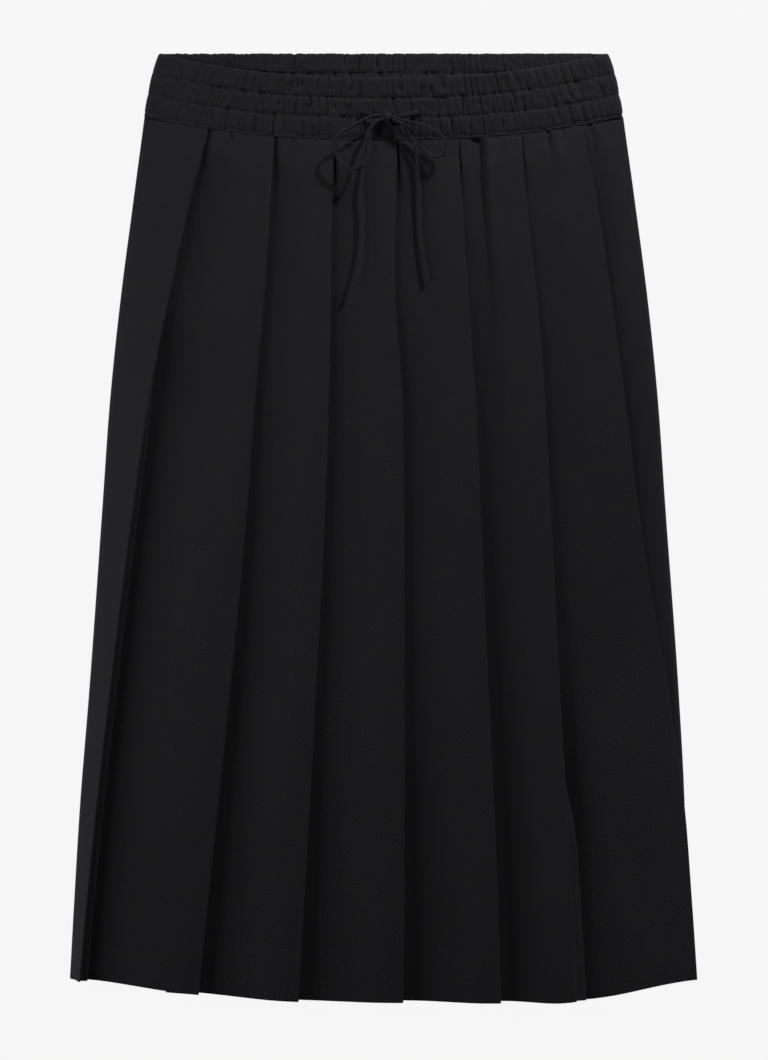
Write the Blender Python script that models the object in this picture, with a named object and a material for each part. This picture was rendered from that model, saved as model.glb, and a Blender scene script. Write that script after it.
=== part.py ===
"""A knife-pleated midi skirt with a gathered drawstring waist, laid flat with its front up.

Tables are in millimetres; the model is in metres, +Z up, with its origin at the middle of the underside's
box and +Y towards the waist. "Down" is a distance from the waist's top edge towards the hem.
"""

import math

import bpy
import numpy as np

MM = 0.001

# The whole skirt as it lies.
LENGTH = 748.0
SEAM_HALF = 189.0

# The cloth's wall and how its layers lie on each other.
CLOTH = 1.2
GAP = 0.3
FOLD_RADIUS = 0.75
LAYER = 2 * FOLD_RADIUS
SHARPEST_CORNER = 0.6
CREASE_OUTSIDE = 1.42 * CLOTH / 2
BACK_FLOOR = CLOTH / 2
FRONT_FLOOR = BACK_FLOOR + 2 * LAYER + CLOTH + 0.5

# Where the front's fold edges and the two side folds run: x at each distance down.
FOLD_COLUMNS = (
    "down", "left", "fold_1", "fold_2", "fold_3", "fold_4", "fold_5", "fold_6", "fold_7", "right",
)
FOLD_LINES = (
    (50.0, -189.0, -135.0, -85.0, -38.0, 11.4, 57.6, 107.6, 155.0, 189.0),
    (117.0, -198.2, -151.8, -88.9, -40.4, 10.8, 61.7, 112.5, 167.5, 198.2),
    (196.0, -208.4, -168.5, -93.9, -41.4, 11.4, 66.9, 120.9, 179.3, 208.4),
    (274.0, -216.3, -183.6, -100.6, -42.8, 14.6, 72.4, 127.0, 189.8, 216.3),
    (353.0, -221.8, -195.1, -106.3, -45.4, 16.2, 75.9, 131.0, 199.0, 221.8),
    (510.0, -232.9, -214.8, -120.8, -53.1, 16.5, 82.8, 138.8, 224.6, 233.2),
    (588.0, -239.2, -223.8, -128.9, -57.4, 16.6, 86.5, 143.3, 236.3, 237.4),
    (666.0, -243.9, -231.8, -137.1, -61.8, 16.3, 89.8, 147.6, 242.6, 238.6),
    (748.0, -248.3, -239.2, -145.6, -66.7, 15.5, 92.2, 151.6, 248.2, 239.5),
)

# Height of each fold edge, and of the soft roll between the last fold and the right side.
CREST_COLUMNS = ("down", "fold_1", "fold_2", "fold_3", "fold_4", "fold_5", "fold_6", "fold_7", "roll")
CREST_HEIGHTS = (
    (50.0, 8.7, 8.5, 8.5, 8.5, 8.5, 8.5, 8.5, 7.0),
    (117.0, 12.0, 10.6, 10.2, 10.2, 10.2, 10.2, 10.6, 9.0),
    (196.0, 16.0, 13.2, 12.4, 12.4, 12.4, 12.4, 12.8, 11.0),
    (353.0, 19.0, 16.2, 15.4, 15.4, 15.4, 15.4, 14.8, 11.6),
    (510.0, 20.0, 18.2, 17.6, 17.6, 17.6, 18.0, 14.0, 8.0),
    (748.0, 20.0, 19.4, 19.0, 19.0, 19.0, 20.0, 11.6, 5.8),
)

# The hem's distance down at the left side, at each fold and at the right side.
HEM_DOWN = (729.8, 730.6, 740.8, 746.4, 747.2, 747.6, 746.2, 730.4, 729.8)
BACK_HEM_DOWN = 729.8
SEAM_SIDE_DOWN = 50.8
SEAM_SAG = 18.9
SAG_POWER = 2.4

# How far each pleat's underlay reaches under its fold edge, at the seam and at the hem.
UNDERLAY_TOP = 20.0
UNDERLAY_HEM = 26.0
# Pleats that stand open as a ridge lower down: (opens from, open by, how far the valley lies past the fold).
RIDGES = {1: (235.0, 330.0, 5.5), 6: (520.0, 620.0, 8.0)}
RIDGE_FOOT = 3.0
# The last pleat ends against the right side, which leaves its panel and its inner crease this much room.
LAST_PANEL_ROOM = 12.0
LAST_CREASE_ROOM = 18.0

# A panel's section: the shares of its width where it has points, and how it curves up out of its valley.
PANEL_STATIONS = (0.1, 0.22, 0.36, 0.52, 0.76)
PANEL_RISE = 0.5
PANEL_CURVE = 1.3
FIRST_STATIONS = (0.35, 0.7)
LAST_STATIONS = (0.3, 0.65)
# The shares of the skirt's length where it has sections.
FRONT_LEVELS = (0.0, 0.03, 0.08, 0.15, 0.24, 0.31, 0.42, 0.53, 0.64, 0.74, 0.82, 0.91, 1.0)

# The back's pleats run straight down.
BACK_FOLDS = 8
BACK_FIRST_FOLD = 159.5
BACK_LAST_FOLD = -168.0
BACK_UNDERLAY = 18.0
BACK_LEVELS = (0.0, 0.5, 1.0)
# A back panel comes down off the pleat beside it in steps: (x from that pleat's fold edge, layers up).
BACK_STEPS = ((1.0, 2), (-5.4, 1), (-12.0, 0))

# The soft side folds: how far in each one starts to turn down, as a share of its panel, least and most.
SIDE_SHARE = 0.45
SIDE_LEAST = 6.0
SIDE_MOST = 15.0
RIGHT_ANGLES = (88, 60, 25, -25, -62, -90)
LEFT_ANGLES = (-90, -62, -25, 25, 62)
# The left side is tighter at the seam and opens down the skirt; its shoulder is a share of fold 1's height.
LEFT_LEAST = 3.4
LEFT_OPENING = 60.0
LEFT_SHOULDER = 0.35
LEFT_CURVE = 0.9

# The waistband: three gathered casings between four lines, each with its distance down and its sag.
BAND_WALL = 2.8
BAND_LINES = (
    # down at the sides, sag in the middle, half width
    (0.5, 19.2, 177.0),
    (16.6, 19.7, 182.4),
    (32.6, 18.7, 185.6),
    (50.5, 18.9, 189.0),
)
BACK_BAND_LINES = ((0.0, 177.0), (16.0, 182.4), (31.8, 185.6), (50.2, 189.0))
CASING_BULGE = 0.9
MOUTH_LIFT = 2.4
BAND_TURN = 9.0
BAND_ANGLES = (90, 45, 0, -45, -90)

# The gathers: their number, depth, and how uneven they are in width and depth, to the mean.
GATHERS = 56
GATHER_DEPTH = 0.55
GATHER_WIDTHS = (0.7, 1.3)
GATHER_STRENGTHS = (0.55, 1.0)
GATHER_SEED = 11
# A stitched line holds them down, and so does the band's left end: strength, place and fade.
STITCHED_STRENGTH = 0.45
CALM_STRENGTH = 0.55
CALM_PLACE = -0.9
CALM_FADE = 0.4

# Edges sharper than this stay crisp when the surface is smoothed, in degrees.
CRISP_EDGE = 50.0

# The drawstring: a round cord, tied in a bow. Each stretch is (x, down, height of its middle line).
CORD = 2.2
CORD_STEP = 2.4
KNOT_MIDDLE = (2.9, 52.0, 12.2)
KNOT_SIZE = (6.8, 6.4, 5.4)
KNOT_SQUARENESS = 0.75
END_KNOT_SIZE = 3.5
END_KNOT_REACH = 2.1
LUMP_RINGS = 8
LUMP_AROUND = 12
CORD_ROUTES = {
    "drawstring_lead_left": (
        (-16.8, 47.2, 10.5), (-11.8, 48.7, 10.9), (-6.5, 50.4, 11.0), (-0.9, 51.4, 11.0),
    ),
    "drawstring_loop_left": (
        (-0.8, 50.7, 13.9), (-6.8, 50.9, 15.4), (-12.5, 53.1, 17.0), (-18.5, 56.4, 18.5),
        (-25.0, 60.2, 19.6), (-31.5, 64.2, 20.1), (-36.0, 67.8, 20.3), (-38.6, 72.4, 20.2),
        (-38.6, 78.4, 19.9), (-36.0, 84.8, 19.4), (-31.6, 90.2, 18.8), (-26.0, 93.3, 18.3),
        (-20.9, 92.6, 17.9), (-18.0, 89.0, 17.5), (-16.8, 83.4, 17.1), (-15.6, 76.0, 16.7),
        (-13.6, 68.4, 16.2), (-10.8, 61.8, 15.5), (-6.6, 56.6, 14.8), (-0.7, 53.5, 14.1),
    ),
    "drawstring_tail_left": (
        (-0.4, 54.2, 11.2), (-5.2, 56.4, 11.0), (-9.0, 60.9, 10.8), (-10.9, 66.0, 10.9),
        (-11.5, 71.8, 11.2), (-12.6, 77.2, 11.5), (-14.2, 83.2, 11.6), (-15.9, 90.4, 11.7),
        (-17.2, 99.0, 11.9), (-17.6, 110.0, 12.2), (-17.1, 122.6, 12.6), (-16.7, 137.0, 13.2),
        (-17.3, 151.0, 14.2), (-18.5, 162.6, 15.4), (-20.2, 172.0, 16.5), (-22.0, 178.8, 17.2),
        (-23.3, 183.3, 17.6),
    ),
    "drawstring_lead_right": (
        (26.6, 47.6, 10.6), (20.0, 49.4, 11.0), (13.2, 50.9, 11.1), (6.9, 51.3, 11.0),
    ),
    "drawstring_loop_right": (
        (6.5, 51.7, 14.0), (12.7, 53.8, 15.6), (18.0, 55.3, 17.0), (25.1, 57.2, 18.1),
        (32.2, 59.3, 18.7), (39.4, 62.6, 18.9), (44.9, 66.6, 18.9), (48.5, 71.2, 18.7),
        (49.2, 76.4, 18.3), (47.2, 81.0, 17.6), (43.0, 83.6, 16.7), (38.2, 83.0, 15.6),
        (33.6, 79.4, 14.3), (29.0, 75.7, 12.8), (24.6, 72.6, 11.5), (19.8, 69.2, 10.9),
        (14.6, 65.2, 10.7), (9.4, 60.6, 10.8), (4.4, 55.9, 11.1),
    ),
    "drawstring_tail_right": (
        (6.7, 54.1, 11.7), (12.0, 55.4, 12.4), (16.6, 58.0, 13.4), (20.5, 62.8, 14.2),
        (23.1, 68.6, 14.5), (24.9, 74.6, 14.3), (25.9, 81.5, 13.4), (26.5, 90.0, 12.4),
        (27.1, 98.5, 11.7), (27.6, 108.5, 11.6), (28.0, 122.6, 12.1), (28.4, 137.1, 12.5),
        (29.4, 148.8, 12.9), (30.9, 161.1, 13.4), (32.3, 169.8, 13.9), (34.2, 177.5, 14.4),
    ),
}


def clear_scene():
    for thing in list(bpy.data.objects):
        bpy.data.objects.remove(thing, do_unlink=True)


def smooth(at, places, values):
    """The value at a place, on a smooth curve through the given places."""
    places = np.asarray(places, float)
    values = np.asarray(values, float)
    slopes = np.gradient(values, places)
    at = np.clip(at, places[0], places[-1])
    i = int(np.clip(np.searchsorted(places, at) - 1, 0, len(places) - 2))
    span = places[i + 1] - places[i]
    t = (at - places[i]) / span
    start = (1 + 2 * t) * (1 - t) ** 2 * values[i] + t * (1 - t) ** 2 * span * slopes[i]
    end = t * t * (3 - 2 * t) * values[i + 1] + t * t * (t - 1) * span * slopes[i + 1]
    return float(start + end)


def column(table, columns, name, down):
    k = columns.index(name)
    return smooth(down, [row[0] for row in table], [row[k] for row in table])


def line_name(k):
    """The column of front line k: 0 is the left side, 1 to 7 the folds, 8 the right side."""
    return FOLD_COLUMNS[k + 1]


def ease(t):
    t = min(1.0, max(0.0, t))
    return t * t * (3 - 2 * t)


def sagging(side, sag, share):
    """A line that hangs down by sag in the middle; share runs from -1 to 1 across the waist."""
    return side + sag * (1 - min(1.0, abs(share)) ** SAG_POWER)


def seam_down(x, z):
    """Where the waist seam lies at a point of the seam's section: sagging on top, straight underneath."""
    on_top = z > (BACK_FLOOR + 2 * LAYER + FRONT_FLOOR) / 2
    return sagging(SEAM_SIDE_DOWN, SEAM_SAG, x / SEAM_HALF) if on_top else SEAM_SIDE_DOWN


def hem_down(q):
    return smooth(q, range(len(HEM_DOWN)), HEM_DOWN)


def down_at(q, v):
    """Distance down of front line q (0 at the left side, 8 at the right) at the share v of its length."""
    seam = sagging(SEAM_SIDE_DOWN, SEAM_SAG, FOLD_LINES[0][q + 1] / SEAM_HALF)
    return seam + v * (hem_down(q) - seam)


def fold_x(k, down):
    return column(FOLD_LINES, FOLD_COLUMNS, line_name(k), down)


def crest(k, down):
    name = "roll" if k == 8 else line_name(k)
    return column(CREST_HEIGHTS, CREST_COLUMNS, name, down)


def underlay(k, down):
    """How far pleat k's inner crease lies to the left of its fold edge; below nothing on an open ridge."""
    closed = UNDERLAY_TOP + (UNDERLAY_HEM - UNDERLAY_TOP) * down / LENGTH
    if k not in RIDGES:
        return closed
    start, end, opened = RIDGES[k]
    share = ease((down - start) / (end - start))
    return closed * (1 - share) - opened * share


def panel_height(share, height):
    """Height of a panel at a share of its width: deep in the valley, then curving up to lie flat."""
    rise = math.sin(math.pi / 2 * min(1.0, share / PANEL_RISE)) ** PANEL_CURVE
    return FRONT_FLOOR + (height - FRONT_FLOOR) * rise


def crease(tip, before, after):
    """Three points round a crease, opening towards the points before and after it."""
    tip = np.array(tip, float)
    legs = [np.array(p, float) - tip for p in (before, after)]
    opening = sum(leg / np.linalg.norm(leg) for leg in legs)
    opening /= np.linalg.norm(opening)
    across = np.array([-opening[1], opening[0]])
    if across @ legs[0] < 0:
        across = -across
    first = tip + FOLD_RADIUS * (opening + across)
    last = tip + FOLD_RADIUS * (opening - across)
    return [tuple(first), tuple(tip), tuple(last)]


def side_fold(edge, inward, low, high, angles):
    """Points round a soft side fold, from the table up: edge is the outermost x, inward its depth."""
    middle = (low + high) / 2
    tall = (high - low) / 2
    return [
        (edge - inward + inward * math.cos(math.radians(a)), middle + tall * math.sin(math.radians(a)))
        for a in angles
    ]


def valley_start(k, down):
    """x where panel k comes out of its valley."""
    edge = fold_x(k, down)
    start = max(edge, edge - underlay(k, down) + RIDGE_FOOT)
    return min(start, fold_x(8, down) - LAST_PANEL_ROOM) if k == 7 else start


def inner_x(k, down):
    """x of pleat k's inner crease."""
    edge = fold_x(k, down)
    inner = edge - underlay(k, down)
    return min(inner, fold_x(8, down) - LAST_CREASE_ROOM) if k == 7 else inner


def front_panel(k, v):
    """Middle points of panel k between its valley and the next fold edge: (x, z, q)."""
    start = valley_start(k, down_at(k, v))
    end = fold_x(k + 1, down_at(k + 1, v)) - CREASE_OUTSIDE
    top = crest(k + 1, down_at(k + 1, v))
    points = [(start, FRONT_FLOOR, k)]
    for share in PANEL_STATIONS:
        points.append((start + share * (end - start), panel_height(share, top), k + share))
    return points


def last_panel(v):
    """Panel 7: out of its valley, over a low roll and down round the right side to the table."""
    down = down_at(8, v)
    start = valley_start(7, down_at(7, v))
    edge = fold_x(8, down) - CLOTH / 2
    high = crest(8, down)
    inward = min(SIDE_MOST, max(SIDE_LEAST, SIDE_SHARE * (edge - start)))
    points = [(start, FRONT_FLOOR, 7)]
    for share in LAST_STATIONS:
        x = start + share * (edge - inward - start)
        z = FRONT_FLOOR + (high - FRONT_FLOOR) * math.sin(math.pi / 2 * share)
        points.append((x, z, 7 + share / 2))
    points += [(x, z, 8) for x, z in side_fold(edge, inward, BACK_FLOOR, high, RIGHT_ANGLES)]
    return points


def back_steps(edge):
    """Points of a back panel as it comes down off the pleat with this fold edge."""
    return [(edge + x, BACK_FLOOR + layers * LAYER) for x, layers in BACK_STEPS]


def first_panel(v):
    """Panel 0: from its seam over the back's last fold, round the left side and up to fold 1."""
    down = down_at(0, v)
    edge = fold_x(0, down) + CLOTH / 2
    ridge = fold_x(1, down_at(1, v))
    high = crest(1, down_at(1, v))
    inward = min(SIDE_MOST, SIDE_SHARE * (ridge - edge))
    inward = min(max(inward, LEFT_LEAST), SIDE_LEAST + LEFT_OPENING * v)
    points = [(BACK_LAST_FOLD + BACK_UNDERLAY, BACK_FLOOR + 2 * LAYER, 0)]
    points += [(x, z, 0) for x, z in back_steps(BACK_LAST_FOLD)]
    top = FRONT_FLOOR + LEFT_SHOULDER * (high - FRONT_FLOOR)
    points += [(x, z, 0) for x, z in side_fold(edge, -inward, BACK_FLOOR, top, LEFT_ANGLES)]
    shoulder = edge + inward
    for share in FIRST_STATIONS:
        x = shoulder + share * (ridge - CREASE_OUTSIDE - shoulder)
        z = top + (high - top) * math.sin(math.pi / 2 * share) ** LEFT_CURVE
        points.append((x, z, (1 + 2 * share) / 3))
    return points


def front_section(v):
    """Middle line of the front at the share v of its length: rows of (x, z, q)."""
    points = first_panel(v)
    for k in range(1, 8):
        down = down_at(k, v)
        tip = (fold_x(k, down) - CREASE_OUTSIDE, crest(k, down) - FOLD_RADIUS)
        inner = (inner_x(k, down), FRONT_FLOOR + FOLD_RADIUS)
        panel = front_panel(k, v) if k < 7 else last_panel(v)
        points += [(x, z, k) for x, z in crease(tip, points[-1][:2], inner)]
        points += [(x, z, k) for x, z in crease(inner, tip, panel[0][:2])]
        points += panel
    tip = (BACK_FIRST_FOLD, BACK_FLOOR + FOLD_RADIUS)
    seam = (BACK_FIRST_FOLD + BACK_UNDERLAY, BACK_FLOOR + LAYER)
    points += [(x, z, 8) for x, z in crease(tip, points[-1][:2], seam)]
    points.append((*seam, 8))
    return points


def back_section():
    """Middle line of the back, from its seam at the right to its seam at the left."""
    pitch = (BACK_FIRST_FOLD - BACK_LAST_FOLD) / (BACK_FOLDS - 1)
    points = [(BACK_FIRST_FOLD + BACK_UNDERLAY, BACK_FLOOR + 2 * LAYER)]
    for k in range(1, BACK_FOLDS):
        previous = BACK_FIRST_FOLD - (k - 1) * pitch
        edge = BACK_FIRST_FOLD - k * pitch
        points += back_steps(previous)
        tip = (edge, BACK_FLOOR + FOLD_RADIUS)
        inner = (edge + BACK_UNDERLAY, BACK_FLOOR + LAYER + FOLD_RADIUS)
        points += crease(tip, points[-1], inner)
        if k < BACK_FOLDS - 1:
            points += crease(inner, tip, back_steps(edge)[0])
    points.append((BACK_LAST_FOLD + BACK_UNDERLAY, BACK_FLOOR + LAYER))
    return points


def offset(section, distances):
    """Move a line of (x, z) points sideways, to its left, by a distance for each point."""
    section = np.asarray(section, float)
    along = np.diff(section, axis=0)
    along /= np.linalg.norm(along, axis=1)[:, None]
    normals = np.stack([-along[:, 1], along[:, 0]], axis=1)
    first = np.vstack([normals[:1], normals])
    last = np.vstack([normals, normals[-1:]])
    middle = first + last
    middle /= np.linalg.norm(middle, axis=1)[:, None]
    stretch = 1 / np.maximum((middle * first).sum(axis=1), SHARPEST_CORNER)
    return section + middle * (stretch * distances)[:, None]


def wall_mesh(name, outside, inside):
    """A closed wall between two grids of points with the same columns; the inside may have fewer rows."""
    rows, columns = outside.shape[:2]
    inner_rows = inside.shape[0]
    points = np.vstack([outside.reshape(-1, 3), inside.reshape(-1, 3)])

    def out(r, c):
        return r * columns + c

    def inn(r, c):
        return rows * columns + r * columns + c

    faces = []
    for r in range(rows - 1):
        for c in range(columns - 1):
            faces.append((out(r, c), out(r + 1, c), out(r + 1, c + 1), out(r, c + 1)))
    for r in range(inner_rows - 1):
        for c in range(columns - 1):
            faces.append((inn(r, c), inn(r, c + 1), inn(r + 1, c + 1), inn(r + 1, c)))
    for c in range(columns - 1):
        faces.append((out(0, c), out(0, c + 1), inn(0, c + 1), inn(0, c)))
        hem = [inn(inner_rows - 1, c), inn(inner_rows - 1, c + 1)]
        faces.append((out(rows - 1, c), *hem, out(rows - 1, c + 1)))
    for c, turn in ((0, 1), (columns - 1, -1)):
        chain = [inn(r, c) for r in range(inner_rows)]
        edge = [out(r, c) for r in range(rows)]
        faces += end_faces(chain, edge, turn)
    mesh = bpy.data.meshes.new(name)
    mesh.from_pydata((points * MM).tolist(), [], faces)
    if volume(mesh) < 0:
        mesh.flip_normals()
    mesh.update()
    return mesh


def end_faces(chain, edge, turn):
    """Triangles between two chains of corners that run the same way."""
    faces = []
    a = b = 0
    while a < len(chain) - 1 or b < len(edge) - 1:
        chain_behind = (a + 1) * (len(edge) - 1) < (b + 1) * (len(chain) - 1)
        if b == len(edge) - 1 or chain_behind and a < len(chain) - 1:
            face = (chain[a], chain[a + 1], edge[b])
            a += 1
        else:
            face = (chain[a], edge[b + 1], edge[b])
            b += 1
        faces.append(face[::turn])
    return faces


def volume(mesh):
    mesh.calc_loop_triangles()
    corners = np.array([[mesh.vertices[i].co for i in t.vertices] for t in mesh.loop_triangles])
    return float(np.einsum("ij,ij->i", corners[:, 0], np.cross(corners[:, 1], corners[:, 2])).sum() / 6)


def add_object(name, data, material):
    thing = bpy.data.objects.new(name, data)
    bpy.context.scene.collection.objects.link(thing)
    data.materials.append(material)
    if thing.type == "MESH":
        data.shade_smooth()
        data.set_sharp_from_angle(angle=math.radians(CRISP_EDGE))
    return thing


def black_cloth(name, colour, roughness):
    material = bpy.data.materials.new(name)
    material.use_nodes = True
    shader = material.node_tree.nodes["Principled BSDF"]
    shader.inputs["Base Color"].default_value = (*colour, 1.0)
    shader.inputs["Roughness"].default_value = roughness
    shader.inputs["Metallic"].default_value = 0.0
    return material


def place(section, downs):
    """Points (x, y, z) of one section whose columns lie at these distances down."""
    section = np.asarray(section, float)
    return np.stack([section[:, 0], LENGTH / 2 - np.asarray(downs, float), section[:, 1]], axis=1)


def skirt_front(material):
    outside = []
    inside = []
    seams = [seam_down(x, z) for x, z, _ in front_section(0.0)]
    for v in FRONT_LEVELS:
        rows = front_section(v)
        line = [row[:2] for row in rows]
        downs = [seam + v * (hem_down(row[2]) - seam) for seam, row in zip(seams, rows, strict=True)]
        half = np.full(len(line), CLOTH / 2)
        outside.append(place(offset(line, half), downs))
        inside.append(place(offset(line, -half), downs))
    mesh = wall_mesh("skirt_front", np.array(outside), np.array(inside))
    return add_object("skirt_front", mesh, material)


def skirt_back(material):
    line = back_section()
    half = np.full(len(line), CLOTH / 2)
    outside = []
    inside = []
    for v in BACK_LEVELS:
        downs = [SEAM_SIDE_DOWN + v * (BACK_HEM_DOWN - SEAM_SIDE_DOWN)] * len(line)
        outside.append(place(offset(line, half), downs))
        inside.append(place(offset(line, -half), downs))
    mesh = wall_mesh("skirt_back", np.array(outside), np.array(inside))
    return add_object("skirt_back", mesh, material)


def gather_shares(random):
    """Where the gathers' ridges and furrows lie across the band, from -1 to 1, unevenly spaced."""
    steps = random.uniform(*GATHER_WIDTHS, 2 * GATHERS)
    places = np.concatenate([[0.0], np.cumsum(steps)])
    return -1 + 2 * places / places[-1]


def gather_relief(shares, random):
    """How far each ridge stands out and each furrow lies in, as a share of the full depth."""
    lively = np.clip((shares - CALM_PLACE) / CALM_FADE, 0, 1)
    strength = random.uniform(*GATHER_STRENGTHS, len(shares))
    strength *= CALM_STRENGTH + (1 - CALM_STRENGTH) * lively
    relief = strength * np.where(np.arange(len(shares)) % 2, 1.0, -1.0)
    relief[[0, -1]] = 0.0
    return relief


def casing_rows(lines):
    """Rows of (line position, bulge, gather strength): pinched at each line and full between them."""
    rows = []
    for k in range(len(lines) - 1):
        rows.append((k, 0.0, STITCHED_STRENGTH))
        rows.append((k + 0.5, CASING_BULGE, 1.0))
    rows.append((len(lines) - 1, 0.0, STITCHED_STRENGTH))
    return rows


def between(lines, position, part):
    """A column of the band's lines at a position that may lie half-way between two of them."""
    low = int(min(position, len(lines) - 2))
    return lines[low][part] + (position - low) * (lines[low + 1][part] - lines[low][part])


def front_band_row(position, bulge, strength, shares, relief):
    """One row of the front band, from its left end underneath, over the front, to its right end underneath.

    It gives the middle line, how far the wall's outside stands out from it, and each point's distance down.
    """
    edge = between(BAND_LINES, position, 2)
    lift = MOUTH_LIFT * (1 - position / (len(BAND_LINES) - 1))
    low = BAND_WALL / 2
    tall = (BAND_WALL + CASING_BULGE + GATHER_DEPTH + GAP) / 2
    high = low + 2 * tall
    flat = edge - low - tall
    turn = np.radians(BAND_ANGLES)
    right = [(flat + tall * math.cos(a), low + tall + tall * math.sin(a)) for a in turn]
    right.append((flat - BAND_TURN, low))
    left = [(-x, z) for x, z in right[::-1]]
    across = [(share * flat, high + lift * (1 - share * share)) for share in shares[1:-1]]
    line = left + across + right
    sides = [0.0] * len(right)
    reach = np.array(sides + list(bulge + GATHER_DEPTH * strength * relief[1:-1]) + sides)
    side_down = between(BAND_LINES, position, 0)
    sag = between(BAND_LINES, position, 1)
    downs = [sagging(side_down, sag, x / edge) if z > low + tall else side_down for x, z in line]
    return line, BAND_WALL / 2 + reach, downs


def waistband_front(material):
    """The front casings, turned down at both sides to lie on the table in line with the back's."""
    random = np.random.default_rng(GATHER_SEED)
    shares = gather_shares(random)
    relief = gather_relief(shares, random)
    outside = []
    for row in casing_rows(BAND_LINES):
        line, distances, downs = front_band_row(*row, shares, relief)
        outside.append(place(offset(line, distances), downs))
    inside = []
    for position in range(len(BAND_LINES)):
        line, _, downs = front_band_row(position, 0.0, 0.0, shares, relief)
        inside.append(place(offset(line, np.full(len(line), -BAND_WALL / 2)), downs))
    mesh = wall_mesh("waistband_front", np.array(outside), np.array(inside))
    return add_object("waistband_front", mesh, material)


def back_band_row(position, heights, shares):
    """One row of the back band, which ends beside the front band's turned ends."""
    tall = (BAND_WALL + CASING_BULGE + GATHER_DEPTH + GAP) / 2
    half = between(BACK_BAND_LINES, position, 1) - BAND_WALL / 2 - tall - BAND_TURN - GAP
    line = np.stack([shares * half, heights], axis=1)
    return place(line, [between(BACK_BAND_LINES, position, 0)] * len(shares))


def waistband_back(material):
    """The back casings: flat on the table, ruched on the side that shows in the waist's mouth."""
    random = np.random.default_rng(GATHER_SEED + 1)
    shares = gather_shares(random)
    relief = gather_relief(shares, random)
    outside = [
        back_band_row(position, BAND_WALL + bulge + GATHER_DEPTH * strength * relief, shares)
        for position, bulge, strength in casing_rows(BACK_BAND_LINES)
    ]
    inside = [
        back_band_row(position, np.zeros(len(shares)), shares)
        for position in range(len(BACK_BAND_LINES))
    ]
    mesh = wall_mesh("waistband_back", np.array(outside), np.array(inside))
    return add_object("waistband_back", mesh, material)


def world(x, down, z):
    return (x * MM, (LENGTH / 2 - down) * MM, z * MM)


def even_route(route):
    """Points a few diameters apart on a smooth curve through a route's own points."""
    route = np.array(route)
    along = np.concatenate([[0.0], np.cumsum(np.linalg.norm(np.diff(route, axis=0), axis=1))])
    count = max(3, round(along[-1] / (CORD_STEP * CORD)) + 1)
    return [
        [smooth(at, along, route[:, k]) for k in range(3)]
        for at in np.linspace(0, along[-1], count)
    ]


def cord(name, route, material):
    curve = bpy.data.curves.new(name, "CURVE")
    curve.dimensions = "3D"
    spline = curve.splines.new("POLY")
    places = even_route(route)
    spline.points.add(len(places) - 1)
    for point, place_ in zip(spline.points, places, strict=True):
        point.co = (*world(*place_), 1.0)
    curve.bevel_depth = CORD / 2 * MM
    curve.bevel_resolution = 2
    curve.use_fill_caps = True
    return add_object(name, curve, material)


def rounded_lump(name, middle, size, squareness, material):
    """A closed round solid; squareness below 1 fills its corners out."""
    verts = [(0.0, 0.0, -1.0)]
    for tilt in np.linspace(-math.pi / 2, math.pi / 2, LUMP_RINGS + 1)[1:-1]:
        for turn in np.linspace(0, 2 * math.pi, LUMP_AROUND, endpoint=False):
            shape = (math.cos(tilt) * math.cos(turn), math.cos(tilt) * math.sin(turn), math.sin(tilt))
            verts.append([math.copysign(abs(w) ** squareness, w) for w in shape])
    verts.append((0.0, 0.0, 1.0))
    faces = []
    top = len(verts) - 1
    for c in range(LUMP_AROUND):
        after = (c + 1) % LUMP_AROUND
        faces.append((0, 1 + after, 1 + c))
        faces.append((top, top - LUMP_AROUND + c, top - LUMP_AROUND + after))
        for low in range(1, top - LUMP_AROUND, LUMP_AROUND):
            faces.append((low + c, low + after, low + LUMP_AROUND + after, low + LUMP_AROUND + c))
    centre = np.array(world(*middle))
    verts = centre + np.array(verts) * np.array(size) / 2 * MM
    mesh = bpy.data.meshes.new(name)
    mesh.from_pydata(verts.tolist(), [], faces)
    return add_object(name, mesh, material)


def end_knot(name, route, material):
    """The small knot just past a tail's end, in line with it."""
    last, before = np.array(route[-1]), np.array(route[-2])
    onward = (last - before) / np.linalg.norm(last - before)
    return rounded_lump(name, last + END_KNOT_REACH * onward, [END_KNOT_SIZE] * 3, 1.0, material)


def main():
    clear_scene()
    suiting = black_cloth("black suiting", (0.011, 0.011, 0.0125), 0.85)
    casing = black_cloth("black gathered suiting", (0.014, 0.014, 0.016), 0.85)
    string = black_cloth("black cord", (0.018, 0.018, 0.02), 0.8)
    skirt_front(suiting)
    skirt_back(suiting)
    waistband_front(casing)
    waistband_back(casing)
    for name, route in CORD_ROUTES.items():
        cord(name, route, string)
    rounded_lump("drawstring_knot", KNOT_MIDDLE, KNOT_SIZE, KNOT_SQUARENESS, string)
    for side in ("left", "right"):
        end_knot(f"drawstring_end_{side}", CORD_ROUTES[f"drawstring_tail_{side}"], string)


main()
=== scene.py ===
# %% [markdown]
# # A knife-pleated midi skirt, laid flat
#
# The skirt is black suiting, pleated one way round and gathered into a waistband of three elastic
# casings, with a thin cord tied in a bow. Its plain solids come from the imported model. Each cell
# below makes one real piece of it as a fine surface worked out with numpy, or one finish.
# Lengths in the tables are millimetres. "Down" is the distance from the waist's top edge.

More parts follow.
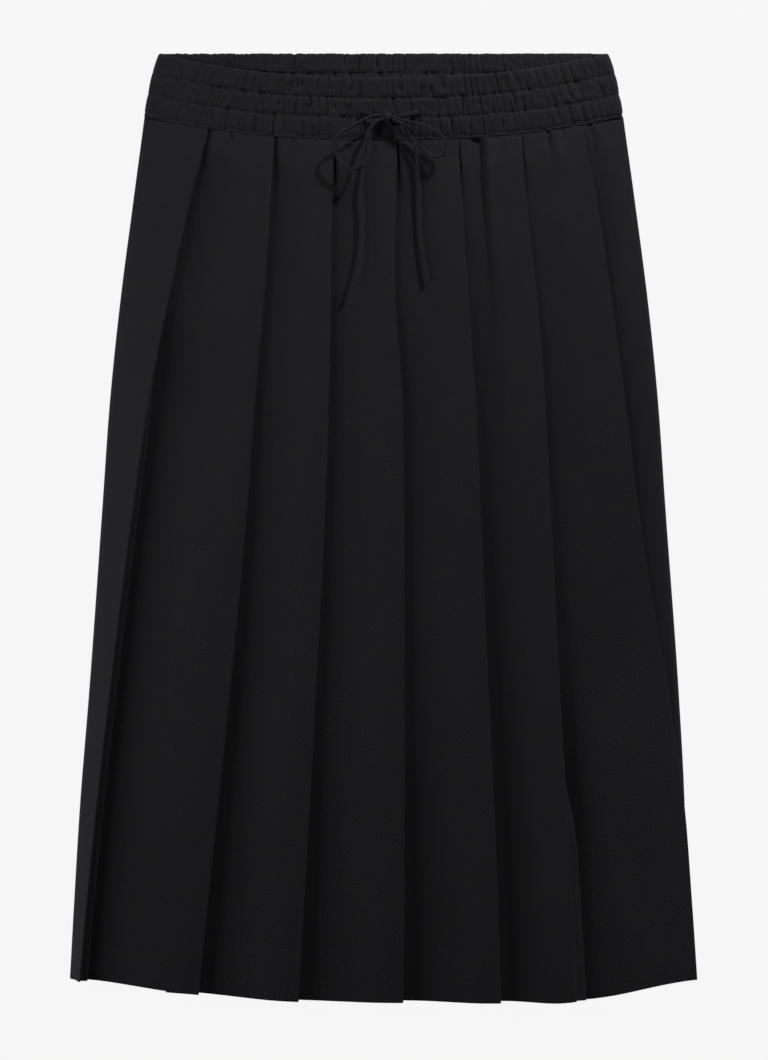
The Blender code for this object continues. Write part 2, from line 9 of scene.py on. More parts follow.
import bmesh
import bpy
import numpy as np
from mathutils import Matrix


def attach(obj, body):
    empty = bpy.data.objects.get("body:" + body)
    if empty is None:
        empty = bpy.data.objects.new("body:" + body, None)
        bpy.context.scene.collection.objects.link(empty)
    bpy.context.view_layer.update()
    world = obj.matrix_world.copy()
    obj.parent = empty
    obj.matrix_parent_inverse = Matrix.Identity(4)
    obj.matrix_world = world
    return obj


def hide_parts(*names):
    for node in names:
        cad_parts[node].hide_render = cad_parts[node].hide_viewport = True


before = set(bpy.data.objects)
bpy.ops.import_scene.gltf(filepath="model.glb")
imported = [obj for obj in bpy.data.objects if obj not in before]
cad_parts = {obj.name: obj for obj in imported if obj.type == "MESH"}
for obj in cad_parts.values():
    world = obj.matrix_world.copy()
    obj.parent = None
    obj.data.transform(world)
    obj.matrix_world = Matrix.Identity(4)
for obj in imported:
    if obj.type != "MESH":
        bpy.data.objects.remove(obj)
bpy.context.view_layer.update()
MM = 0.001


# %% [markdown]
# ## The camera
# A flat lay is photographed from straight above. A long lens keeps the sides of the folds from
# leaning outwards. The picture is upright, so the sensor's width lies along its height, and the
# lens follows from the camera's height and from how much of the table the picture takes in.

# %% Camera
CAMERA_PLACE = (0.0004, -0.0024, 2.4)
TABLE_IN_VIEW = 0.8374
SENSOR = 36.0


def put_in_scene(name, data):
    """A new object with this data, linked into the scene."""
    thing = bpy.data.objects.new(name, data)
    bpy.context.scene.collection.objects.link(thing)
    return thing


camera_data = bpy.data.cameras.new("camera")
camera_data.sensor_width = SENSOR
camera_data.lens = SENSOR * CAMERA_PLACE[2] / TABLE_IN_VIEW
camera = put_in_scene("camera", camera_data)
camera.location = CAMERA_PLACE
bpy.context.scene.camera = camera
print("lens in mm:", round(camera_data.lens, 1))

# %% [markdown]
# ## Smooth curves from short tables
# A garment is described by a few measured rows. Between the rows everything runs smoothly, so one
# helper draws a cubic curve through them. The solids use the same curve, so that a piece made here
# lies on its solid.

# %% Curve through a table
def smooth_curve(at, places, values):
    """Cubic through the rows (place, value): on each span a blend of its ends and of their mean slopes."""
    places = np.asarray(places, float)
    values = np.asarray(values, float)
    slopes = np.gradient(values, places, axis=0)
    at = np.clip(np.asarray(at, float), places[0], places[-1])
    i = np.clip(np.searchsorted(places, at) - 1, 0, len(places) - 2)
    span = places[i + 1] - places[i]
    t = (at - places[i]) / span
    if values.ndim > 1:
        t, span = t[..., None], span[..., None]
    start = (1 + 2 * t) * (1 - t) ** 2 * values[i] + t * (1 - t) ** 2 * span * slopes[i]
    end = t * t * (3 - 2 * t) * values[i + 1] + t * t * (t - 1) * span * slopes[i + 1]
    return start + end


def ease(t):
    """A soft step from 0 to 1: 3 t squared less 2 t cubed."""
    t = np.clip(t, 0.0, 1.0)
    return t * t * (3 - 2 * t)


print("half-way up a step:", float(ease(0.5)))

# %% [markdown]
# ## Faces of a grid
# Every surface here is a grid of points, and its faces join neighbours on the grid. A wall of cloth
# is two such grids, its outside and its inside, with a rim that closes them. Faces could be added
# one by one, but whole arrays of numbers are quick and leave no gaps.

# %% Faces of a grid
def grid_faces(rows, columns, first=0, flip=False, around=False, closed=False):
    """Quads between neighbours of a grid; around joins its last column to the first, closed its rows."""
    numbers = first + np.arange(rows * columns).reshape(rows, columns)
    if around:
        numbers = np.hstack([numbers, numbers[:, :1]])
    if closed:
        numbers = np.vstack([numbers, numbers[:1]])
    corners = [numbers[:-1, :-1], numbers[1:, :-1], numbers[1:, 1:], numbers[:-1, 1:]]
    faces = np.stack(corners, axis=-1).reshape(-1, 4)
    return faces[:, ::-1] if flip else faces


def wall_faces(rows, columns):
    """Faces of a closed wall: its outside grid comes first, then its inside, joined by a rim of quads."""
    count = rows * columns
    numbers = np.arange(count).reshape(rows, columns)
    border = [numbers[0, :-1], numbers[:-1, -1], numbers[-1, :0:-1], numbers[:0:-1, 0]]
    border = np.concatenate(border)
    ahead = np.roll(border, -1)
    rim = np.stack([border, ahead, ahead + count, border + count], axis=1)
    return np.concatenate([grid_faces(rows, columns), grid_faces(rows, columns, count, True), rim])


print("a 3 by 4 wall has", len(wall_faces(3, 4)), "faces")

# %% [markdown]
# ## From points to a piece
# A piece is one mesh with its UV map and its finish, and it rides on the skirt's one body. The
# grid's own lengths become the UV map, so that a weave follows the cloth round every fold. The sign
# of the volume that the faces enclose tells whether they point outwards.

# %% Putting a piece together
LENGTH = 748.0


def volume(points, faces):
    """Six times the volume under the faces: the sum of each corner triple's box product."""
    a, b, c, d = (points[faces[:, k]] for k in range(4))
    halves = np.einsum("ij,ij->i", a, np.cross(b, c)) + np.einsum("ij,ij->i", a, np.cross(c, d))
    return float(halves.sum())


def add_piece(name, points, faces, uv, material, replaced=()):
    """Put points in millimetres, their faces and UVs into one smooth object that rides on the skirt."""
    points = points.reshape(-1, 3)
    if volume(points, faces) < 0:
        faces = faces[:, ::-1]
    mesh = bpy.data.meshes.new(name)
    mesh.from_pydata((points * MM).tolist(), [], faces.tolist())
    layer = mesh.uv_layers.new(name="cloth")
    layer.data.foreach_set("uv", (uv.reshape(-1, 2) * MM)[faces.ravel()].ravel())
    mesh.shade_smooth()
    piece = put_in_scene(name, mesh)
    mesh.materials.append(material)
    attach(piece, "root")
    if replaced:
        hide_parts(*replaced)
    print(name, "faces:", len(faces))
    return piece


def place(x, down, z):
    """Points (x, y, z) from distances down the skirt."""
    return np.stack(np.broadcast_arrays(x, LENGTH / 2 - np.asarray(down), z), axis=-1).astype(float)


print("the hem's middle lies at y =", float(place(0, LENGTH, 0)[1]))

# %% [markdown]
# ## Tubes
# A cord is a circle carried along a path. At each point of the path two directions square to it
# span the circle's plane, and the ring is drawn in that plane. A curve object with a round bevel
# would do as well, but its section couldn't flatten where the cord is pulled over the band.

# %% Tubes
def unit(vectors):
    """Vectors scaled to length 1."""
    return vectors / np.linalg.norm(vectors, axis=-1, keepdims=True)


def tube_points(path, radius, around, flat):
    """Ring i is path(i) + radius(i) * (flat(i) * cos a * side + sin a / flat(i) * up)."""
    along = unit(np.gradient(path, axis=0))
    side = unit(np.cross(along, (0, 0, 1)))
    up = np.cross(side, along)
    angle = np.linspace(0, 2 * np.pi, around, endpoint=False)[None, :, None]
    radius, flat = radius[:, None, None], flat[:, None, None]
    across = flat * np.cos(angle) * side[:, None]
    return path[:, None] + radius * (across + np.sin(angle) / flat * up[:, None])


def close_ends(piece):
    """A small face over each open end of a tube."""
    shape = bmesh.new()
    shape.from_mesh(piece.data)
    bmesh.ops.holes_fill(shape, edges=[e for e in shape.edges if e.is_boundary], sides=0)
    for face in shape.faces:
        face.smooth = True
    shape.to_mesh(piece.data)
    shape.free()


print("a unit vector:", unit(np.array([3.0, 0.0, 4.0])).tolist())

# %% [markdown]
# ## Weave and grain
# A weave is two sets of threads at right angles, with a diagonal where they cross. Three wave
# textures on the cloth's own UVs give that as a height. Noise gives the grain that the eye reads as
# wool. An image could hold both, but a texture that is worked out stays sharp at any distance.

# %% Weave and grain
def feed(material, node, *first, **named):
    """Set a node's sockets, the first in order and the rest by name, or link another node's output."""
    sockets = [*zip(node.inputs, first)]
    sockets += [(node.inputs[name.replace("_", " ")], value) for name, value in named.items()]
    for socket, value in sockets:
        if isinstance(value, bpy.types.NodeSocket):
            material.node_tree.links.new(value, socket)
        else:
            socket.default_value = value


def add_node(material, kind, *first, **named):
    """A new shader node with its sockets fed."""
    node = material.node_tree.nodes.new(kind)
    feed(material, node, *first, **named)
    return node


def weave_height(material, uv, thread):
    """Warp, weft and their diagonal as three wave textures with one band to a thread, added together."""
    bands = np.pi / 10 / (thread * MM)
    total = 0.0
    for direction, share in (("X", 0.25), ("Y", 0.25), ("DIAGONAL", 0.5)):
        wave = add_node(material, "ShaderNodeTexWave", uv, Scale=bands, Distortion=0.6, Detail=1.0)
        wave.bands_direction = direction
        part = add_node(material, "ShaderNodeMath", wave.outputs["Fac"], share, total)
        part.operation = "MULTIPLY_ADD"
        total = part.outputs[0]
    return total


def noise(material, uv, size, detail):
    """Noise on the cloth whose blotches are about this many millimetres."""
    sockets = {"Scale": 1 / (size * MM), "Detail": detail, "Roughness": 0.6}
    return add_node(material, "ShaderNodeTexNoise", uv, **sockets).outputs["Fac"]


def ramp_of(material, factor, low, high, first, last):
    """A factor from low to high as a blend of two colours."""
    ramp = add_node(material, "ShaderNodeValToRGB", factor)
    for element, position, colour in zip(ramp.color_ramp.elements, (low, high), (first, last)):
        element.position = position
        element.color = (*colour, 1.0)
    return ramp.outputs["Color"]


print("one thread of 0.55 mm is", round(0.55 * MM * 1e6), "micrometres wide")

# %% [markdown]
# ## Black suiting
# The cloth is a fine, matt, closely woven suiting with a faint violet cast near the waist. Two
# blacks mixed by quick noise give its grain, slow noise gives the cast, fading down the skirt, and
# sheen gives the soft bloom at grazing light. A plain dark colour would look like rubber.

# %% Cloth finish
THREAD = 0.55
GRAIN_SIZE = 1.1
CAST_SIZE = 16.0
NEUTRAL_CAST = (1.0, 1.0, 0.97)
VIOLET_CAST = (0.96, 0.925, 1.07)
CAST_FADES = (0.2, 0.5)
SHEEN_TINT = (0.86, 0.84, 1.0, 1.0)


def fading_cast(material, uv, shade):
    """The shade times the cast, less of it from 200 to 500 mm down the skirt."""
    cast = ramp_of(material, noise(material, uv, CAST_SIZE, 3.0), 0.42, 0.58, NEUTRAL_CAST, VIOLET_CAST)
    down = add_node(material, "ShaderNodeSeparateXYZ", uv).outputs["Y"]
    fading = add_node(material, "ShaderNodeMapRange", down, *CAST_FADES, 1.0, 0.4)
    blend = add_node(material, "ShaderNodeMix", fading.outputs["Result"])
    blend.data_type = "RGBA"
    blend.blend_type = "MULTIPLY"
    for socket, colour in ((6, shade), (7, cast)):
        material.node_tree.links.new(colour, blend.inputs[socket])
    return blend.outputs[2]


def cloth_finish(name, dark, light, thread=THREAD, sheen=0.03, gloss=0.1):
    """Principled cloth: two blacks mixed by the grain, a cast, a woven bump under a fuzzy one, sheen."""
    material = bpy.data.materials.new(name)
    material.use_nodes = True
    uv_map = add_node(material, "ShaderNodeUVMap")
    uv_map.uv_map = "cloth"
    uv = uv_map.outputs["UV"]
    grain = noise(material, uv, GRAIN_SIZE, 2.0)
    shade = ramp_of(material, grain, 0.38, 0.62, dark, light)
    rough = add_node(material, "ShaderNodeMapRange", grain, To_Min=0.72, To_Max=0.92)
    weave = weave_height(material, uv, thread)
    relief = add_node(material, "ShaderNodeBump", 0.5, 0.08 * MM, Height=weave).outputs["Normal"]
    fuzz = add_node(material, "ShaderNodeBump", 0.3, 0.12 * MM, Height=grain, Normal=relief)
    feed(
        material, material.node_tree.nodes["Principled BSDF"],
        fading_cast(material, uv, shade), Roughness=rough.outputs["Result"], Normal=fuzz.outputs["Normal"],
        Specular_IOR_Level=gloss, Sheen_Weight=sheen, Sheen_Roughness=0.45, Sheen_Tint=SHEEN_TINT,
    )
    return material


BLACKS = {
    "suiting": ((0.0100, 0.0102, 0.0115), (0.0186, 0.0189, 0.0207)),
    "cord": ((0.0098, 0.0100, 0.0112), (0.0162, 0.0165, 0.0180)),
    "thread": ((0.0080, 0.0080, 0.0095), (0.0130, 0.0128, 0.0150)),
}
SUITING = cloth_finish("black_suiting", *BLACKS["suiting"])
CASING = cloth_finish("black_casing", *BLACKS["suiting"])
CORD_CLOTH = cloth_finish("black_cord", *BLACKS["cord"], thread=0.35, sheen=0.08)
THREAD_BLACK = cloth_finish("black_thread", *BLACKS["thread"], thread=0.12, gloss=0.3)
print("finishes:", [m.name for m in (SUITING, CASING, CORD_CLOTH, THREAD_BLACK)])

# %% [markdown]
# ## The drawstring
# One thin round cord, a tube of the skirt's own cloth, runs inside the band and comes out of two
# buttonholes. It is tied in a bow, so what shows is two free ends: each runs from its buttonhole
# into the knot, out in a loop, back through the knot and down as a tail. Its route is laid in the
# same points as its solids, joined by the few points that lie inside the knot.

# %% Cord routes
CORD = 2.2
CORD_POINT_STEP = 0.6
LEFT_ROUTE = (
    # x, down, z: out of the buttonhole, to the knot
    (-18.8, 46.6, 8.6), (-16.8, 47.2, 10.3), (-11.8, 48.7, 10.9), (-6.5, 50.4, 11), (-0.9, 51.4, 11),
    # round inside the knot
    (2.6, 51.8, 11.2), (4.9, 51.8, 12.4), (2.8, 51, 13.7),
    # the loop
    (-0.8, 50.7, 13.9), (-6.8, 50.9, 15.4), (-12.5, 53.1, 17), (-18.5, 56.4, 18.5),
    (-25, 60.2, 19.6), (-31.5, 64.2, 20.1), (-36, 67.8, 20.3), (-38.6, 72.4, 20.2),
    (-38.6, 78.4, 19.9), (-36, 84.8, 19.4), (-31.6, 90.2, 18.8), (-26, 93.3, 18.3),
    (-20.9, 92.6, 17.9), (-18, 89, 17.5), (-16.8, 83.4, 17.1), (-15.6, 76, 16.7),
    (-13.6, 68.4, 16.2), (-10.8, 61.8, 15.5), (-6.6, 56.6, 14.8), (-0.7, 53.5, 14.1),
    # back through the knot
    (2.6, 52.8, 13.2), (4.2, 53.2, 12), (2.6, 53.8, 11.2),
    # the tail
    (-0.4, 54.2, 11.2), (-5.2, 56.4, 11), (-9, 60.9, 10.8), (-10.9, 66, 10.9),
    (-11.5, 71.8, 11.2), (-12.6, 77.2, 11.5), (-14.2, 83.2, 11.6), (-15.9, 90.4, 11.7),
    (-17.2, 99, 11.6), (-17.6, 110, 11.6), (-17.1, 122.6, 11.8), (-16.7, 137, 12.3),
    (-17.3, 151, 13.2), (-18.5, 162.6, 14.2), (-20.2, 172, 15.1), (-22, 178.8, 15.7),
    (-23.3, 183.3, 16),
)
RIGHT_ROUTE = (
    (28.6, 47, 8.6), (26.6, 47.6, 10.4), (20, 49.4, 11), (13.2, 50.9, 11.1), (6.9, 51.3, 11),
    (3.2, 51.8, 11.2), (1.4, 52, 12.4), (3.4, 51.8, 13.7),
    (6.5, 51.7, 14), (12.7, 53.8, 15.6), (18, 55.3, 17), (25.1, 57.2, 18.1),
    (32.2, 59.3, 18.7), (39.4, 62.6, 18.9), (44.9, 66.6, 18.9), (48.5, 71.2, 18.7),
    (49.2, 76.4, 18.3), (47.2, 81, 17.6), (43, 83.6, 16.7), (38.2, 83, 15.6),
    (33.6, 79.4, 14.3), (29, 75.7, 12.8), (24.6, 72.6, 11.5), (19.8, 69.2, 10.9),
    (14.6, 65.2, 10.7), (9.4, 60.6, 10.8), (4.4, 55.9, 11.1),
    (2.4, 53.6, 11.6), (2.8, 52.2, 12.6), (4.6, 53, 12.4),
    (6.7, 54.1, 11.7), (12, 55.4, 12.4), (16.6, 58, 13.4), (20.5, 62.8, 14.2),
    (23.1, 68.6, 14.5), (24.9, 74.6, 14.3), (25.9, 81.5, 13), (26.5, 90, 11.7),
    (27.1, 98.5, 10.7), (27.6, 108.5, 10.3), (28, 122.6, 10.5), (28.4, 137.1, 10.9),
    (29.4, 148.8, 11.1), (30.9, 161.1, 11.5), (32.3, 169.8, 11.9), (34.2, 177.5, 12.4),
)


def run_along(points):
    """The distance along a line of points, 0 at its first."""
    return np.concatenate([[0.0], np.cumsum(np.linalg.norm(np.diff(points, axis=0), axis=1))])


def even_path(route, step):
    """Points a step apart on a smooth curve through a route's own (x, down, z) points."""
    route = place(*np.array(route, float).T)
    along = run_along(route)
    fine = smooth_curve(np.linspace(0, along[-1], 6 * len(route)), along, route)
    for _ in range(2):
        run = run_along(fine)
        fine = smooth_curve(np.linspace(0, run[-1], round(run[-1] / step) + 1), run, fine)
    return fine


LEFT_PATH = even_path(LEFT_ROUTE, CORD_POINT_STEP)
RIGHT_PATH = even_path(RIGHT_ROUTE, CORD_POINT_STEP)
for side, path in (("left", LEFT_PATH), ("right", RIGHT_PATH)):
    print(side, "cord in mm:", round(float(run_along(path)[-1]), 1))

# %% [markdown]
# A cord of folded cloth isn't quite even: it swells and thins a little along its length, and lies
# flatter where it is pulled over the band. So its radius wanders by a few hundredths and its
# section is an oval whose flatness is a function of the distance along it.

# %% Cord surfaces
CORD_AROUND = 14
PULLED_LENGTH = 24.0


def cord_piece(name, path, flattened, replaced):
    """A tube round the path, wandering in radius, flattened over its first stretch, with round ends."""
    run = np.arange(len(path)) * CORD_POINT_STEP
    radius = CORD / 2 * (1 + 0.03 * np.sin(run / 3.1) + 0.025 * np.sin(run / 7.3 + 1.0))
    flat = 1 + flattened * ease((PULLED_LENGTH - run) / 8.0) + 0.06 * np.sin(run / 11.0)
    end = np.clip(np.minimum(run, run[::-1]) / 1.0, 0.08, 1)
    points = tube_points(path, radius * np.sqrt(end * (2 - end)), CORD_AROUND, flat)
    around = np.arange(CORD_AROUND) * np.pi * CORD / CORD_AROUND
    uv = np.stack(np.meshgrid(around, run), axis=-1)
    faces = grid_faces(len(path), CORD_AROUND, around=True)
    piece = add_piece(name, points, faces, uv, CORD_CLOTH, replaced)
    close_ends(piece)
    return piece


cord_left = cord_piece(
    "drawstring_left", LEFT_PATH, 0.1,
    ("drawstring_lead_left", "drawstring_loop_left", "drawstring_tail_left"),
)
cord_right = cord_piece(
    "drawstring_right", RIGHT_PATH, 0.7,
    ("drawstring_lead_right", "drawstring_loop_right", "drawstring_tail_right"),
)

# %% [markdown]
# ## Closed rings of cord
# A wrap of a knot is a tube that runs back into itself. Its rings can't take their direction from
# "up", because the path turns through every direction, so they take it from the ring's own middle.

# %% Closed rings
WRAP_POINTS = 48
WRAP_AROUND = 12


def ring_points(path, radius, broad=1.0):
    """A closed tube: each ring turns about the path, from its middle outwards, broad times as wide."""
    along = unit(np.roll(path, -1, axis=0) - np.roll(path, 1, axis=0))
    outwards = path - path.mean(axis=0)
    outwards = unit(outwards - along * np.sum(outwards * along, axis=-1, keepdims=True))
    across = broad * np.cross(along, outwards)
    angle = np.linspace(0, 2 * np.pi, WRAP_AROUND, endpoint=False)[None, :, None]
    return path[:, None] + radius * (np.cos(angle) * outwards[:, None] + np.sin(angle) * across[:, None])


def ring_piece(name, paths, radii, replaced, broad=1.0):
    """Several closed tubes joined in one piece, with UVs in millimetres along and round each."""
    points = np.concatenate([ring_points(p, r, broad).reshape(-1, 3) for p, r in zip(paths, radii)])
    firsts = WRAP_POINTS * WRAP_AROUND * np.arange(len(paths))
    faces = [grid_faces(WRAP_POINTS, WRAP_AROUND, first, around=True, closed=True) for first in firsts]
    around, run = np.arange(WRAP_AROUND) * 0.5, np.arange(WRAP_POINTS) * 0.4
    uv = np.tile(np.stack(np.meshgrid(around, run), axis=-1).reshape(-1, 2), (len(paths), 1))
    return add_piece(name, points, np.concatenate(faces), uv, CORD_CLOTH, replaced)


print("faces of one wrap:", WRAP_POINTS * WRAP_AROUND)

# %% [markdown]
# ## The knot and the end knots
# In a bow one end wraps once round the middle of both loops. Seen from the front that wrap is a
# short band across the knot, so it is a closed ring of cord, an oval in the plane square to the
# loops, a little tilted. Under it a second turn crosses the other way. Each tail ends in a small
# overhand knot, which is a trefoil: a closed curve that winds three times through itself.

# %% Knots
KNOT_MIDDLE = (2.9, 52.0, 12.4)
END_KNOT_SIZE = 2.3
END_KNOT_AHEAD = 1.2
AROUND_ONCE = np.linspace(0, 2 * np.pi, WRAP_POINTS, endpoint=False)


def ring_path(middle, tall, deep, tilt, lean):
    """Oval round the x axis: x = tilt * cos a + lean * sin a, y = tall * cos a, z = deep * sin a."""
    cos, sin = np.cos(AROUND_ONCE), np.sin(AROUND_ONCE)
    return place(*middle) + np.stack([tilt * cos + lean * sin, tall * cos, deep * sin], axis=-1)


def trefoil_path(middle, onward, size):
    """Overhand knot: (sin a + 2 sin 2a, cos a - 2 cos 2a, -sin 3a), scaled, its flat side along onward."""
    a = AROUND_ONCE
    flat_side = [np.sin(a) + 2 * np.sin(2 * a), np.cos(a) - 2 * np.cos(2 * a)]
    shape = np.stack([*flat_side, -np.sin(3 * a)], axis=-1)
    side = unit(np.cross(onward, (0, 0, 1)))
    turned = shape[:, :1] * onward + shape[:, 1:2] * side + shape[:, 2:] * np.cross(side, onward)
    return middle + turned * size / 6


def end_knot(side, path):
    """The overhand knot just past the end of a tail."""
    onward = unit(path[-1] - path[-4])
    trefoil = trefoil_path(path[-1] + END_KNOT_AHEAD * onward, onward, END_KNOT_SIZE)
    return ring_piece(f"end_knot_{side}", [trefoil], (0.82,), (f"drawstring_end_{side}",))


wraps = [ring_path(KNOT_MIDDLE, 2.6, 2.1, 0.6, 0.0), ring_path((2.3, 51.9, 12.3), 1.8, 1.2, -1.3, 0.6)]
bow_knot = ring_piece("bow_knot", wraps, (0.95, 0.8), ("drawstring_knot",), broad=2.6)
left_end_knot = end_knot("left", LEFT_PATH)
right_end_knot = end_knot("right", RIGHT_PATH)

# %% [markdown]
# ## The pleated front
# The front is one wide length of cloth. Across the skirt its section is a zigzag: a panel rises out
# of its valley, ends in a pressed fold edge, turns back under itself as the underlay, and comes out
# again as the next panel. The tables give where each fold edge runs and how high it stands, the
# same as the solids'. Down the skirt the section changes smoothly from the seam to the hem.

# %% Skirt tables
HALF = 0.35
PRESSED_RADIUS = 0.42
LAYER = 1.5
BACK_FLOOR = 0.6
TWO_LAYERS_UP = BACK_FLOOR + 2 * LAYER
FRONT_FLOOR = 5.3
SEAM_HALF = 189.0
FOLD_LINES = np.array([
    # down, left side, fold edges 1 to 7, right side
    (50, -189, -135, -85, -38, 11.4, 57.6, 107.6, 155, 189),
    (117, -198.2, -151.8, -88.9, -40.4, 9.9, 61.7, 112.5, 167.5, 198.2),
    (196, -208.4, -168.5, -93.9, -41.4, 9.4, 66.9, 120.9, 179.3, 208.4),
    (274, -216.3, -183.6, -100.6, -42.8, 15, 72.4, 127, 189.8, 216.3),
    (353, -221.8, -195.1, -106.3, -45.4, 16.2, 75.9, 131, 199, 221.8),
    (510, -232.9, -214.8, -120.8, -53.1, 16.5, 82.8, 138.8, 224.6, 233.2),
    (588, -239.2, -223.8, -128.9, -57.4, 16.6, 86.5, 143.3, 236.3, 237.4),
    (666, -243.9, -231.8, -137.1, -61.8, 16.3, 89.8, 147.6, 242.6, 238.6),
    (748, -248.3, -239.2, -145.6, -66.7, 15.5, 92.2, 151.6, 248.2, 239.5),
])
CREST_HEIGHTS = np.array([
    # down, fold edges 1 to 7, the roll beside the right side
    (50, 8.7, 8.5, 8.5, 8.5, 8.5, 8.5, 8.5, 7),
    (117, 12, 10.6, 10.2, 10.2, 10.2, 10.2, 10.6, 9),
    (196, 16, 13.2, 12.4, 12.4, 12.4, 12.4, 12.8, 11),
    (353, 19, 16.2, 15.4, 15.4, 15.4, 15.4, 14.8, 11.6),
    (510, 20, 18.2, 17.6, 17.6, 17.6, 18, 14, 8),
    (748, 20, 19.4, 19, 19, 19, 20, 11.6, 5.8),
])
VALLEY_DEPTHS = np.array([
    # down, how far under fold edges 1 to 7 the next panel comes out
    (50, 3, 3.2, 2.6, 2.4, 2, 1.8, 1.7),
    (88, 5.2, 4.2, 3.4, 3.6, 2.6, 2, 3.2),
    (117, 7, 5.2, 4.7, 4.6, 3, 2.2, 3.7),
    (135, 8, 5.4, 4.7, 4.3, 3.8, 2.4, 4),
    (163, 8.4, 5.8, 4.8, 4.3, 5, 3.4, 4.2),
    (202, 8, 6.2, 4.9, 4.7, 5.2, 3.8, 3.3),
    (250, 12, 6.2, 6, 5.8, 6.2, 4.8, 3.2),
    (313, 13.2, 7, 6.7, 6.4, 7.2, 5.1, 4.1),
    (384, 13.6, 7.9, 7.3, 6.8, 9, 5.9, 3),
    (463, 14, 9.4, 7.8, 7.4, 10.2, 8.2, 2),
    (541, 14.2, 10.2, 9.2, 8.8, 11.6, 12.4, 1.8),
    (620, 14.2, 11, 10.4, 11.4, 12.6, 13.4, 1.8),
    (748, 14.2, 12.2, 11.8, 13.6, 13.2, 13.6, 1.8),
])
HEM_DOWN = np.array([729.8, 730.6, 740.8, 746.4, 747.2, 747.6, 746.2, 730.4, 729.8])
SEAM_SIDE_DOWN = 50.8
SEAM_SAG = 18.9
SAG_POWER = 2.4
print("fold edges at the hem in mm:", FOLD_LINES[-1, 1:].tolist())

# %% [markdown]
# The section is worked out at 86 levels. They lie close together by the seam and the hem, where the
# cloth has its finest form, and wide apart between. Even steps would need many more points.

# %% Levels down the skirt
LEVEL_STEPS = np.repeat([0.5, 1.0, 3.0, 7.0, 19.0, 7.0], [8, 8, 21, 12, 23, 8])
LEVEL_RUN = np.concatenate([[0.0], np.cumsum(LEVEL_STEPS)])
LAST_LEVELS = np.array([2.0, 1.0, 0.5, 0.2, 0.0])
LEVEL_SHARES = np.concatenate([LEVEL_RUN / (LEVEL_RUN[-1] + 4.0), 1 - LAST_LEVELS / LEVEL_RUN[-1]])


def table_at(down, table, column):
    """A column of a table whose rows start with the distance down."""
    return smooth_curve(down, table[:, 0], table[:, column])


def sagging(side, sag, share):
    """A line that hangs down in the middle: side + sag * (1 - |share| to the power 2.4)."""
    return side + sag * (1 - np.minimum(1.0, np.abs(share)) ** SAG_POWER)


def hem_down(front_line):
    """Distance down of the hem at a front line: 0 is the left side, 1 to 7 the folds, 8 the right side."""
    return smooth_curve(front_line, np.arange(9.0), HEM_DOWN)


seam_lines = sagging(SEAM_SIDE_DOWN, SEAM_SAG, FOLD_LINES[0, 1:] / SEAM_HALF)
line_downs = seam_lines[:, None] + LEVEL_SHARES * (HEM_DOWN - seam_lines)[:, None]
print("levels:", len(LEVEL_SHARES))

# %% [markdown]
# ## Blocks of a section
# The section is put together from blocks, each an array of points for every level down the skirt.
# A pressed edge is an arc between the two legs that meet there, a side is part of an oval, and what
# lies between is a line. Sharp corners with a bevel would come out uneven where the angle changes.

# %% Blocks of a section
CREASE_POINTS = 5


def level_point(x, z, levels):
    """The same point at every level."""
    return np.full(levels, x), np.full(levels, z)


def end_of(block):
    """A block's last point at every level."""
    return block[0][:, -1], block[1][:, -1]


def start_of(block):
    """A block's first point at every level."""
    return block[0][:, 0], block[1][:, 0]


def line_block(start, end, count):
    """Points between two ends, without the ends."""
    share = np.linspace(0, 1, count + 2)[1:-1]
    return tuple(a[:, None] + (b - a)[:, None] * share for a, b in zip(start, end))


def side_block(edge, inward, low, high, degrees):
    """Part of an oval round a side fold: edge is its outermost x, inward its depth, from low to high."""
    a = np.radians(degrees)
    x = (edge - inward)[:, None] + inward[:, None] * np.cos(a)
    z = ((low + high) / 2)[:, None] + ((high - low) / 2)[:, None] * np.sin(a)
    return x, z


def crease_block(tip, before, after, radius=PRESSED_RADIUS):
    """Arc through the tip, from one leg's direction to the other's, between the points before and after."""
    legs = [unit(np.stack(p, axis=-1) - np.stack(tip, axis=-1)) for p in (before, after)]
    opening = unit(legs[0] + legs[1])
    across = np.stack([-opening[:, 1], opening[:, 0]], axis=-1)
    across *= np.sign(np.sum(across * legs[0], axis=-1, keepdims=True))
    half_open = np.arccos(np.clip(np.sum(legs[0] * opening, axis=-1), 0, 1))
    angle = half_open[:, None] + (np.pi - 2 * half_open)[:, None] * np.linspace(0, 1, CREASE_POINTS)
    middle = np.stack(tip, axis=-1) + radius * opening
    turn = across[:, None] * np.cos(angle)[..., None] - opening[:, None] * np.sin(angle)[..., None]
    points = middle[:, None] + radius * turn
    return points[..., 0], points[..., 1]


print("points round a pressed edge:", CREASE_POINTS)

# %% [markdown]
# ## The two side panels
# The front's section starts at its join under the back's last pleat, runs out along the table,
# round the left side and up over the first panel. It ends the same way at the right. Cloth that
# turns round at a side stays soft, so the turn is an oval, and where it meets the panel the line
# is evened out by moving each point a little towards its neighbours.

# %% Side panels
BACK_FIRST_FOLD = 159.5
BACK_LAST_FOLD = -168.0
BACK_UNDERLAY = 18.0
BACK_STEPS = np.array([(1.0, 2), (-5.4, 1), (-12.0, 0)])
# The side folds' depth: at most, and as a share of the panel; the left one's least, and how it grows.
SIDE_MOST = 15.0
SIDE_SHARE = 0.45
LEFT_LEAST = 3.4
LEFT_GROWING = 6.0 + 60.0 * LEVEL_SHARES
LEFT_SHOULDER = 0.35
LEFT_STRAIGHT = 0.9
ROUND_POINTS = 15


def back_steps(edge, levels):
    """Points of a back panel as it comes down off the pleat with this fold edge."""
    x, layers = BACK_STEPS.T
    steps = (edge + x, BACK_FLOOR + layers * LAYER)
    return tuple(np.broadcast_to(values, (levels, len(values))) for values in steps)


